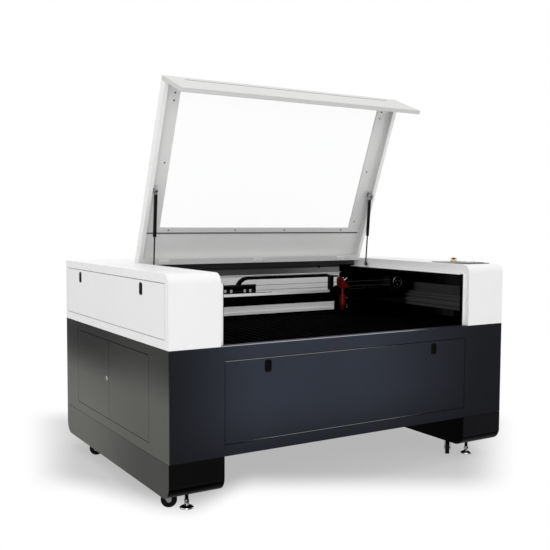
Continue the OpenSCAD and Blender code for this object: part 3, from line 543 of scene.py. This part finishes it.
# %% Rail and fitting finishes
RAIL_GREY = (0.045, 0.045, 0.044)
RAIL_HIGHLIGHT = (0.95, 0.95, 0.95)
RAIL_FADED_HIGHLIGHT = (0.42, 0.42, 0.43)
RAIL_END = 0.33
RAIL_TOP = 0.849
ZINC = (0.62, 0.62, 0.64)
FITTING_PAINT = (0.92, 0.92, 0.92)

rail_dark = metal("rail_dark", RAIL_GREY, 0.5, GROUND_Y, 140.0, 0.12, 0.3, 0.3)
# Painted light: lit toward the front, unlit behind.
light_reach = rail_dark.place.axis("Y").step(-0.17, -0.22)
rail_dark.feed(
    Base_Color=rail_dark.between(light_reach, UNLIT, RAIL_GREY),
    Metallic=1.0 - 0.7 * light_reach,
)

bright_rail = metal("bright_rail", (0.92, 0.92, 0.92), 0.32, GROUND_X, 140.0, 0.1, 0.1)
across, height = bright_rail.axes("XZ")
# Painted highlight on the top, fading toward the head; painted unlit elsewhere.
lit = (across < RAIL_END) * (height > RAIL_TOP)
shine = bright_rail.between(across.step(-0.30, 0.20), RAIL_HIGHLIGHT, RAIL_FADED_HIGHLIGHT)
bright_rail.feed(
    Base_Color=bright_rail.between(lit, UNLIT, shine),
    Metallic=1.0 - 0.9 * lit,
)

fitting_zinc = metal("fitting_zinc", ZINC, 0.32, EVEN, 160.0)
painted = fitting_zinc.place.axis("Z").step(1.13, 1.12)
fitting_zinc.feed(
    Base_Color=fitting_zinc.between(painted, ZINC, FITTING_PAINT),
    Metallic=1.0 - painted,
)
print("metals made")

# %% [markdown]
# ## Plastic, rubber and glass
#
# Latches and the drag chain are moulded plastic with a fine spark-eroded grain. Tyres and belts are
# rubber, duller and softer. The struts' tubes are glossy black with a bright fitting at the upper
# end. The window is clear acrylic: most of the background passes through it, so its alpha is low,
# with faint wipe marks.


# %% Plastic, rubber and clear finishes
def moulding(name, colour, roughness, grain=700.0, specular=0.4, **constants):
    finish = Finish(name, Specular_IOR_Level=specular, **constants)
    skin = finish.noise(grain, 2.0)
    cloud = finish.noise(25.0, 2.0)
    finish.feed(
        Base_Color=finish.between(cloud, shade(colour, 0.85), shade(colour, 1.12)),
        Roughness=roughness - 0.05 + 0.1 * skin,
        Normal=finish.bump(skin, 0.3, 0.00015),
    )
    return finish


STRUT_BLACK = (0.003, 0.003, 0.0035)
STRUT_FITTING = (0.50, 0.50, 0.52)
FITTING_TALL = 26 * MM

moulded_black = moulding("moulded_black", (0.0025, 0.0025, 0.0028), 0.5, 700.0, 0.1)
chain_black = moulding("chain_black", (0.0015, 0.0015, 0.0018), 0.7, 500.0, 0.04)
strut_gloss = moulding("strut_gloss", STRUT_BLACK, 0.24, 300.0, 0.18)
strut_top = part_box("left_strut_tube")[1].z
end_fitting = strut_gloss.place.axis("Z") > strut_top - FITTING_TALL
strut_gloss.feed(
    Base_Color=strut_gloss.between(end_fitting, STRUT_BLACK, STRUT_FITTING),
    Metallic=end_fitting,
)
tyre_rubber = moulding("tyre_rubber", (0.005, 0.005, 0.005), 0.65, 400.0, 0.15)
belt_rubber = moulding("belt_rubber", (0.016, 0.016, 0.017), 0.7, 600.0, 0.2)
panel_plastic = moulding("panel_plastic", (0.10, 0.10, 0.105), 0.35, 600.0)
key_plastic = moulding("key_plastic", (0.40, 0.41, 0.42), 0.4, 600.0)
collar_yellow = moulding("collar_yellow", (0.86, 0.66, 0.36), 0.4, 500.0)
stop_red = moulding("stop_red", (0.16, 0.045, 0.025), 0.35, 300.0)
screen_glass = moulding("screen_glass", (0.010, 0.013, 0.016), 0.1, 60.0, 0.5)
tube_glass = moulding("tube_glass", (0.80, 0.72, 0.84), 0.08, 60.0, 0.5, Alpha=0.35)

acrylic = Finish("acrylic", Specular_IOR_Level=0.5, IOR=1.49)
wipes = acrylic.noise(3.0, 3.0, (0.4, 2.0, 1.0))
acrylic.feed(
    Base_Color=acrylic.between(wipes, (0.90, 0.93, 0.94), (0.96, 0.97, 0.97)),
    Roughness=0.05 + 0.06 * wipes,
    Alpha=0.025 + 0.025 * wipes,
)
print("plastics and clear finishes made")

# %% [markdown]
# ## Threads on the feet
#
# Each levelling foot has a chromed pad and nut on a dark threaded screw. A thread this fine is
# better as a bump than as a real helix: a wave along the height, kept to the height of the screw.

# %% Foot with a thread
SCREW_BLACK = (0.012, 0.012, 0.013)
SCREW_FROM = 36 * MM
THREAD_PITCH = 0.0022

foot_chrome = metal("foot_chrome", CHROME, 0.16, EVEN, 40.0, 0.08)
up = foot_chrome.place.axis("Z")
screw = up > SCREW_FROM
ridge = up.math("SINE", up * (2 * math.pi / THREAD_PITCH), 0.0) * screw
foot_chrome.feed(
    Base_Color=foot_chrome.between(screw, CHROME, SCREW_BLACK),
    Normal=foot_chrome.bump(ridge, 0.8, 0.0012),
)
print("foot finish made")

# %% [markdown]
# ## Finishes on the solids
#
# Each solid takes one finish. A solid's object has one material slot from the frame, so the old
# material is cleared first.

# %% Give each solid its finish
CORNERS = ("lf", "rf", "lr", "rr")
finish_of = {
    black_front: ["front_panel", "front_door"],
    black_side: [
        "left_panel", "left_door_front", "left_door_rear", "right_panel", "rear_panel",
    ],
    black_skirt: ["skirts"],
    frame_paint: ["belly_pan", "tube_supports"],
    housing_coat: ["left_housing", "right_housing"],
    white_coat: ["left_hatch"],
    deck_coat: ["rear_housing", "body_hinge_leaves"],
    lid_coat: ["lid_shell"],
    shaded_frame_coat: ["window_frame"],
    wall_coat: ["chamber_wall"],
    bed_black: ["blade_bed", "base_frame"],
    acrylic: ["lid_window"],
    zinc_plate: [f"caster_fork_{corner}" for corner in CORNERS],
    fitting_zinc: ["lid_fittings"],
    bright_rail: ["x_rail"],
    ground_steel: ["hinge_pins", "y_drive_shaft"],
    chrome: ["door_lock"],
    foot_chrome: [f"foot_{corner}" for corner in CORNERS],
    rod_steel: ["left_strut_rod", "right_strut_rod"],
    strut_gloss: ["left_strut_tube", "right_strut_tube"],
    anodised_black: ["gantry_beam", "head_carriage"],
    anodised_red: ["head_mirror", "lens_tube"],
    motor_dark: ["gantry_carriages", "x_motor"],
    rail_dark: ["y_rails"],
    chain_black: ["drag_chain"],
    belt_rubber: ["x_belt", "y_belts"],
    tyre_rubber: [f"wheel_{corner}" for corner in CORNERS],
    moulded_black: [
        "front_latch_left", "front_latch_right", "hatch_latch_front", "hatch_latch_rear",
    ],
    panel_plastic: ["control_panel"],
    stop_red: ["stop_button"],
    plain_metal: ["electrics"],
    tube_glass: ["laser_tube"],
}
for finish, names in finish_of.items():
    for name in names:
        nodes[name].data.materials.clear()
        nodes[name].data.materials.append(finish.material)
dressed = {name for names in finish_of.values() for name in names}
print("solids with a finish:", len(dressed), "left:", sorted(set(nodes) - dressed))

# %% [markdown]
# ## A fuller drag chain
#
# The photograph shows the drag chain thicker than its slim solid links. A Weld modifier joins the
# mesh's loose triangles, and a Displace modifier then pushes every face outwards by the same small
# amount, so the solid's own mesh stays untouched.

# %% Swell the chain
CHAIN_SWELL = 2.2 * MM
chain = nodes["drag_chain"]
chain.modifiers.new("weld", "WELD").merge_threshold = 0.02 * MM
fuller = chain.modifiers.new("fuller", "DISPLACE")
fuller.strength = CHAIN_SWELL
fuller.mid_level = 0.0
print("chain swelled by", CHAIN_SWELL)

# %% [markdown]
# ## Floor
#
# The photograph has a white ground with a soft shade under the machine. The floor is a wide pale
# disc. A mask paints a soft shadow on it in a patch under the machine, with soft ends measured
# along and across the photograph's line of sight, and everywhere else the camera sees plain white.

# %% Floor
FLOOR_RADIUS = 14.0
FLOOR_DROP = 0.0006
SIGHT_X, SIGHT_Y = 0.5237, 0.8519
EYE_ASIDE = 0.0205
EYE_AWAY = 4.349
SHADE_DEPTH = 0.44
SHADE_SHARE = 0.2

floor_mesh = bpy.data.meshes.new("floor")
sheet = bmesh.new()
bmesh.ops.create_circle(sheet, cap_ends=True, segments=96, radius=FLOOR_RADIUS)
bmesh.ops.translate(sheet, verts=sheet.verts, vec=(0, 0, -FLOOR_DROP))
sheet.to_mesh(floor_mesh)
sheet.free()
floor = bpy.data.objects.new("floor", floor_mesh)
scene.collection.objects.link(floor)
floor.visible_glossy = False

pale = bpy.data.materials.new("pale_floor")
pale.use_nodes = True
pale.node_tree.nodes.clear()
ground = Wire(pale.node_tree)
spot = ground.node("ShaderNodeTexCoord", output="Object")
across, along = spot.axis("X"), spot.axis("Y")
far = SIGHT_X * across + SIGHT_Y * along
spread = (SIGHT_Y * across - SIGHT_X * along + EYE_ASIDE) / (far + EYE_AWAY)
reach = 0.58 + 0.33 * spread.step(-0.27, -0.12) * spread.step(-0.02, -0.11)
near = (far + reach).step(-0.19, 0.195)
ends = spread.step(-0.315, -0.237) * spread.step(0.306, 0.2265)
# Painted shadow: a soft patch under the machine.
under = near * ends * far.step(0.95, 0.50)
seen = ground.node("ShaderNodeLightPath", output="Is Camera Ray")
plain = ground.node(
    "ShaderNodeEmission", None, {"Color": (1, 1, 1, 1), "Strength": 1.0 - SHADE_DEPTH * under}
)
matt = ground.node("ShaderNodeBsdfDiffuse", None, {"Color": (0.96, 0.96, 0.96, 1)})
share = seen * (1.0 - SHADE_SHARE * under)
mixed = ground.node("ShaderNodeMixShader", None, {0: share, 1: matt, 2: plain})
mixed.node("ShaderNodeOutputMaterial", None, {"Surface": mixed})
floor_mesh.materials.append(pale)
print("floor made")

# %% [markdown]
# ## Light and background
#
# Light comes from a bright sky, brightest overhead, and two large soft lamps far away. The camera
# sees plain white, also through the window. Mirror-like surfaces see a sky that is darker at two
# sides, as if a studio flag stood there: a strong one at the front right keeps the satin front
# deep, and a weak one at the rear left tones the left side down.

# %% Sky
SKY_LIGHT = 0.78
OVERHEAD_LIGHT = 0.22
FRONT_FLAG = (0.52, -0.85, 0.0)
REAR_FLAG = (-0.33, 0.944, 0.0)

sky = bpy.data.worlds.new("studio")
scene.world = sky
sky.use_nodes = True
sky.node_tree.nodes.clear()
air = Wire(sky.node_tree)
direction = air.node("ShaderNodeTexCoord", output="Generated")


def toward(way):
    settings = {"operation": "DOT_PRODUCT"}
    return direction.node("ShaderNodeVectorMath", settings, {0: direction, 1: way}, "Value")


def background(strength):
    values = {"Color": (1, 1, 1, 1), "Strength": strength}
    return air.node("ShaderNodeBackground", None, values)


horizon = direction.axis("Z").step(-0.25, 0.1)
gloss_level = (0.25 + 0.75 * horizon) * (1 - 0.85 * toward(FRONT_FLAG).step(0.55, 0.95))
gloss_level = gloss_level * (1 - 0.35 * toward(REAR_FLAG).step(0.84, 0.985))
is_camera = air.node("ShaderNodeLightPath", output="Is Camera Ray")
is_glossy = air.node("ShaderNodeLightPath", output="Is Glossy Ray")
is_through = air.node("ShaderNodeLightPath", output="Is Transmission Ray")
soft = background(SKY_LIGHT + OVERHEAD_LIGHT * direction.axis("Z").step(0.0, 1.0))
mirror_sky = background(gloss_level)
white_sky = background(1.0)
glossed = air.node("ShaderNodeMixShader", None, {0: is_glossy, 1: soft, 2: mirror_sky})
shown = is_camera.either(is_through)
whole = air.node("ShaderNodeMixShader", None, {0: shown, 1: glossed, 2: white_sky})
whole.node("ShaderNodeOutputWorld", None, {"Surface": whole})
print("sky made")


# %% Lamps
def soft_lamp(name, place, target, size, power):
    data = bpy.data.lights.new(name, "AREA")
    data.shape = "DISK"
    data.size = size
    data.energy = power
    lamp = bpy.data.objects.new(name, data)
    aim = (Vector(target) - Vector(place)).to_track_quat("-Z", "Y")
    lamp.matrix_world = Matrix.Translation(place) @ aim.to_matrix().to_4x4()
    scene.collection.objects.link(lamp)


soft_lamp("key_lamp", (-3.4, -6.4, 3.2), (0, -0.2, 0.8), 3.5, 78)
soft_lamp("top_lamp", (-0.8, 0.2, 9.0), (-0.2, 0, 0.6), 6.0, 165)
print("floor, sky and lamps made")

# %% [markdown]
# ## Making a piece
#
# Every small part is built in a bmesh with operators and then becomes one object at the origin
# that rides on a body of the frame. Faces that meet at less than 40 degrees are shaded smooth.

# %% Turn a bmesh into a riding piece
SMOOTH_BELOW = math.radians(40)


def piece(name, bm, finish, body):
    bmesh.ops.recalc_face_normals(bm, faces=bm.faces)
    mesh = bpy.data.meshes.new(name)
    bm.to_mesh(mesh)
    bm.free()
    mesh.polygons.foreach_set("use_smooth", [True] * len(mesh.polygons))
    mesh.set_sharp_from_angle(angle=SMOOTH_BELOW)
    mesh.materials.append(finish.material)
    made = bpy.data.objects.new(name, mesh)
    scene.collection.objects.link(made)
    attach(made, body)
    print(name, "faces:", len(mesh.polygons))


def add(whole, part, matrix):
    """Put a part into a whole at a place, and drop the part."""
    bmesh.ops.transform(part, matrix=matrix, verts=part.verts)
    spare = bpy.data.meshes.new("spare")
    part.to_mesh(spare)
    part.free()
    whole.from_mesh(spare)
    bpy.data.meshes.remove(spare)


print("piece helpers ready")

# %% [markdown]
# ## Plates and turned parts
#
# Most trim is one of two shapes. A plate is a cube whose upright edges are bevelled wide and whose
# front edges are bevelled slightly. A turned part is a closed outline that is spun full circle, and
# the spin merges its last ring with its first.


# %% A rounded plate and a spun profile
def soften(bm, edges, offset, segments):
    bmesh.ops.bevel(
        bm, geom=edges, offset=offset, offset_type="OFFSET", segments=segments, profile=0.5,
        affect="EDGES", material=-1,
    )


def rounded_plate(width, height, thick, corner, edge):
    """A new plate in the local XY plane from 0 to thick, with round corners and a soft front."""
    bm = bmesh.new()
    bmesh.ops.create_cube(bm, size=1.0)
    bmesh.ops.scale(bm, verts=bm.verts, vec=(width, height, thick))
    bmesh.ops.translate(bm, verts=bm.verts, vec=(0, 0, thick / 2))
    upright = [e for e in bm.edges if abs((e.verts[0].co - e.verts[1].co).z) > thick / 2]
    soften(bm, upright, corner, 5)
    front = max(bm.faces, key=lambda f: f.calc_center_median().z)
    soften(bm, list(front.edges), edge, 2)
    return bm


def spun(outline, steps=40):
    """A new body of revolution about Z from a closed outline of radius and height in mm."""
    bm = bmesh.new()
    ring = [bm.verts.new((r * MM, 0, z * MM)) for r, z in outline]
    edges = [bm.edges.new(pair) for pair in zip(ring, ring[1:] + ring[:1])]
    bmesh.ops.spin(
        bm, geom=ring + edges, cent=(0, 0, 0), axis=(0, 0, 1), dvec=(0, 0, 0),
        angle=2 * math.pi, steps=steps, use_merge=True,
    )
    return bm


print("shape helpers ready")

# %% [markdown]
# ## Screws
#
# The clear window is held by small button-head screws along its frame. One screw is a short cone:
# its top face is inset and pushed down for the key, so the head catches light like a real one. The
# lid is drawn closed, and the swing matrix opens all screws together.


# %% Button-head screws
def button_screw(bm, matrix, radius, tall):
    made = bmesh.ops.create_cone(
        bm, cap_ends=True, segments=12, radius1=radius, radius2=radius * 0.72, depth=tall,
        matrix=matrix @ Matrix.Translation((0, 0, tall / 2)),
    )["verts"]
    axis = (matrix.to_3x3() @ Vector((0, 0, 1))).normalized()
    faces = {f for v in made for f in v.link_faces}
    crown = max(faces, key=lambda f: f.calc_center_median().dot(axis))
    bmesh.ops.inset_individual(bm, faces=[crown], thickness=radius * 0.3)
    floor_of_key = bmesh.ops.extrude_discrete_faces(bm, faces=[crown])["faces"]
    sunk = {v for f in floor_of_key for v in f.verts}
    bmesh.ops.translate(bm, verts=list(sunk), vec=axis * (-0.6 * tall))


FACE_DOWN = Matrix.Rotation(math.pi, 4, "X")
FACE_FRONT = Matrix.Rotation(math.pi / 2, 4, "X")
FACE_LEFT = Matrix.Rotation(-math.pi / 2, 4, "Z") @ FACE_FRONT
FRAME_UNDERSIDE = 999
SIDE_COLUMN = 630
SIDE_SPOTS = (55, 92, 405, 712)
REAR_ROW = 766
REAR_SPOTS = (-552, -159, 156, 547)


def under_lid(x, y, z):
    """A place on the closed lid, facing down, swung open with the lid."""
    return LID_SWING @ Matrix.Translation(at(x, y, z)) @ FACE_DOWN


frame_screws = bmesh.new()
spots = [(side_x, along) for side_x in (-SIDE_COLUMN, SIDE_COLUMN) for along in SIDE_SPOTS]
spots += [(across, REAR_ROW) for across in REAR_SPOTS]
for across, along in spots:
    button_screw(frame_screws, under_lid(across, along, FRAME_UNDERSIDE), 4.4 * MM, 2.6 * MM)
piece("frame_screws", frame_screws, rod_steel, "lid")

# %% [markdown]
# ## Seal and strut brackets of the lid
#
# A black rubber strip runs along the window frame's edge on the hinge side; it also stands in for
# the dark shadow line under that edge, as painted shade. Near the upper end of each gas strut a
# bright plate is screwed to the frame.

# %% Lid seal and brackets
SEAL_LENGTH = 1350 * MM
SEAL_WIDTH = 6.5 * MM
SEAL_DEPTH = 6.4 * MM
PLATE_THICK = 2.2 * MM
PLATE_COLUMN = 657

# A black rubber strip that also stands in for the shadow line under the frame's edge.
seal_and_shadow = bmesh.new()
strip = rounded_plate(SEAL_LENGTH, SEAL_WIDTH, SEAL_DEPTH, 1.5 * MM, 1.0 * MM)
add(seal_and_shadow, strip, under_lid(0, 782.5, 1006.9))
piece("lid_seal", seal_and_shadow, belt_rubber, "lid")

brackets = bmesh.new()
for side_x in (-PLATE_COLUMN, PLATE_COLUMN):
    base = under_lid(side_x, 540, FRAME_UNDERSIDE)
    add(brackets, rounded_plate(26 * MM, 36 * MM, PLATE_THICK, 4 * MM, 0.6 * MM), base)
    for along in (-11, 11):
        spot = base @ Matrix.Translation((0, along * MM, PLATE_THICK))
        button_screw(brackets, spot, 3.6 * MM, 2.4 * MM)
piece("strut_plates", brackets, bracket_zinc, "lid")

# %% [markdown]
# ## Latch rims and lock rosette
#
# Each flush latch sits in a black rim that hides the cut edge of the sheet. The rim is a rounded
# plate whose front and back are inset and opened, and whose two inner edges are bridged. The cam
# lock of the left doors has a bright round rosette.

# %% Rims of the latches
RIM_WIDTH = 34 * MM
RIM_HEIGHT = 54 * MM
RIM_WALL = 1.0 * MM
RIM_THICK = 1.4 * MM
RIM_EDGE = 0.6 * MM
RIM_SUNK = 0.2 * MM
ROSETTE_SUNK = 0.1 * MM
LOCK_RADIUS = 13 * MM


def latch_rim():
    bm = rounded_plate(RIM_WIDTH, RIM_HEIGHT, RIM_THICK, 10 * MM, RIM_EDGE)
    caps = sorted(bm.faces, key=lambda f: f.calc_center_median().z)
    front, rear = caps[-1], caps[0]
    bmesh.ops.inset_region(bm, faces=[front], thickness=RIM_WALL)
    bmesh.ops.inset_region(bm, faces=[rear], thickness=RIM_WALL + RIM_EDGE)
    rims = [e for f in (front, rear) for e in f.edges]
    bmesh.ops.delete(bm, geom=[front, rear], context="FACES_ONLY")
    bmesh.ops.bridge_loops(bm, edges=rims)
    return bm


front_rims = bmesh.new()
for latch in ("front_latch_left", "front_latch_right"):
    spot = middle(latch)
    spot.y = FRONT + RIM_SUNK
    add(front_rims, latch_rim(), Matrix.Translation(spot) @ FACE_FRONT)
piece("front_latch_rims", front_rims, moulded_black, "front_door")
hatch_rims = bmesh.new()
for latch in ("hatch_latch_front", "hatch_latch_rear"):
    spot = middle(latch)
    spot.x = RIM_SUNK - HALF_WIDTH
    add(hatch_rims, latch_rim(), Matrix.Translation(spot) @ FACE_LEFT)
piece("hatch_latch_rims", hatch_rims, moulded_black, "hatch")

rosette = bmesh.new()
rosette_outline = [(10.2, 0), (16, 0), (15.2, 1.4), (11, 2.0), (10.2, 1.6)]
spot = middle("door_lock")
spot.x = ROSETTE_SUNK - HALF_WIDTH
spot.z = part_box("door_lock")[0].z + LOCK_RADIUS
add(rosette, spun(rosette_outline), Matrix.Translation(spot) @ FACE_LEFT)
piece("lock_rosette", rosette, chrome, "rear_leaf")

# %% [markdown]
# ## Control panel
#
# The panel on the right housing has a dark display, grey keys and a yellow collar round the stop
# button. The display and the keys are rounded plates, and the collar is a profile spun full circle.
# Their places are measured from the panel's own corner.

# %% Display, keys and collar
KEY_COLUMNS = 4
KEY_ROWS = 3
KEY_PITCH_X = 35
KEY_PITCH_Y = 32
PANEL_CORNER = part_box("control_panel")[0]


def on_panel(x, y, up):
    """A place in millimetres from the panel's front left corner and its underside."""
    return Matrix.Translation(PANEL_CORNER + Vector((x, y, up)) * MM)


display = bmesh.new()
glass = rounded_plate(94.5 * MM, 108.5 * MM, 1.2 * MM, 3 * MM, 0.4 * MM)
add(display, glass, on_panel(60, 195, 2.25))
piece("display_glass", display, screen_glass, "body")

keys = bmesh.new()
for column in range(KEY_COLUMNS):
    for row in range(KEY_ROWS):
        cap = rounded_plate(22.6 * MM, 18.6 * MM, 1.6 * MM, 3.6 * MM, 1.0 * MM)
        add(keys, cap, on_panel(32 + KEY_PITCH_X * column, 30 + KEY_PITCH_Y * row, 5.4))
piece("key_caps", keys, key_plastic, "body")

collar = bmesh.new()
collar_outline = [(6.7, 0), (16.6, 0), (16.6, 7.4), (15.6, 9.0), (7.6, 9.0), (6.7, 8.4)]
add(collar, spun(collar_outline), on_panel(135, 235, 3.5))
piece("stop_collar", collar, collar_yellow, "body")

# %% [markdown]
# ## Plugs and motor ring
#
# Pale plugs sit on the black screen of the gantry, and the motor has a bright ring and three screws
# on its round cover. The ring is spun, and the screws are the same as on the window frame.

# %% Plugs and motor ring
PLUG_SPOTS = ((-376, 874), (-342, 873), (-264, 873), (-232, 873))
PLUG_BACK = 590

plugs = bmesh.new()
for across, high in PLUG_SPOTS:
    plug = rounded_plate(12 * MM, 14 * MM, 3 * MM, 2 * MM, 0.8 * MM)
    add(plugs, plug, Matrix.Translation(at(across, PLUG_BACK, high)) @ FACE_FRONT)
piece("screen_plugs", plugs, bracket_zinc, "gantry")

spot = middle("x_motor")
spot.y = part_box("x_motor")[0].y
motor_face = Matrix.Translation(spot) @ FACE_FRONT
ring = bmesh.new()
add(ring, spun([(28, 0), (31, 0), (30.6, 1.0), (28.4, 1.0)], 56), motor_face)
for third in range(3):
    swing = Matrix.Rotation(2 * math.pi * (third + 0.25) / 3, 4, "Z")
    spot = swing @ Matrix.Translation((13 * MM, 0, 0))
    button_screw(ring, motor_face @ spot, 3.0 * MM, 2.0 * MM)
piece("motor_ring", ring, zinc_plate, "gantry")

# %% [markdown]
# ## Mirror cap and grommet
#
# On the slanted face of the red block sits the mirror cap with its three spring screws, which is
# how such a mirror is aimed. Two bright pins stand beside it, and three small screws sit on the
# carriage below. A black grommet sits on the rear wall.

# %% Mirror cap, screws and grommet
SLANT = Matrix.Translation(at(303, 519, 906)) @ Matrix.Rotation(math.radians(48.8), 4, "Y")
CARRIAGE_SCREWS = (816, 781, 768)

cap = bmesh.new()
add(cap, spun([(0.01, 0), (11, 0), (10, 4), (0.01, 4)]), SLANT)
for third in range(3):
    swing = Matrix.Rotation(2 * math.pi * third / 3, 4, "Z")
    spot = swing @ Matrix.Translation((7.2 * MM, 0, 3.8 * MM))
    button_screw(cap, SLANT @ spot, 2.2 * MM, 2.4 * MM)
for along in (-15, 15):
    button_screw(cap, SLANT @ Matrix.Translation((-8 * MM, along * MM, 0)), 2.6 * MM, 22 * MM)
for high in CARRIAGE_SCREWS:
    button_screw(cap, Matrix.Translation(at(338, 538, high)) @ FACE_FRONT, 2.6 * MM, 2.2 * MM)
piece("mirror_cap", cap, chrome, "head")

grommet = bmesh.new()
grommet_outline = [(0.01, 0), (8.5, 0), (7.8, 2.0), (0.01, 2.4)]
add(grommet, spun(grommet_outline, 24), Matrix.Translation(at(452, 967.1, 959)) @ FACE_FRONT)
piece("wall_grommet", grommet, moulded_black, "body")
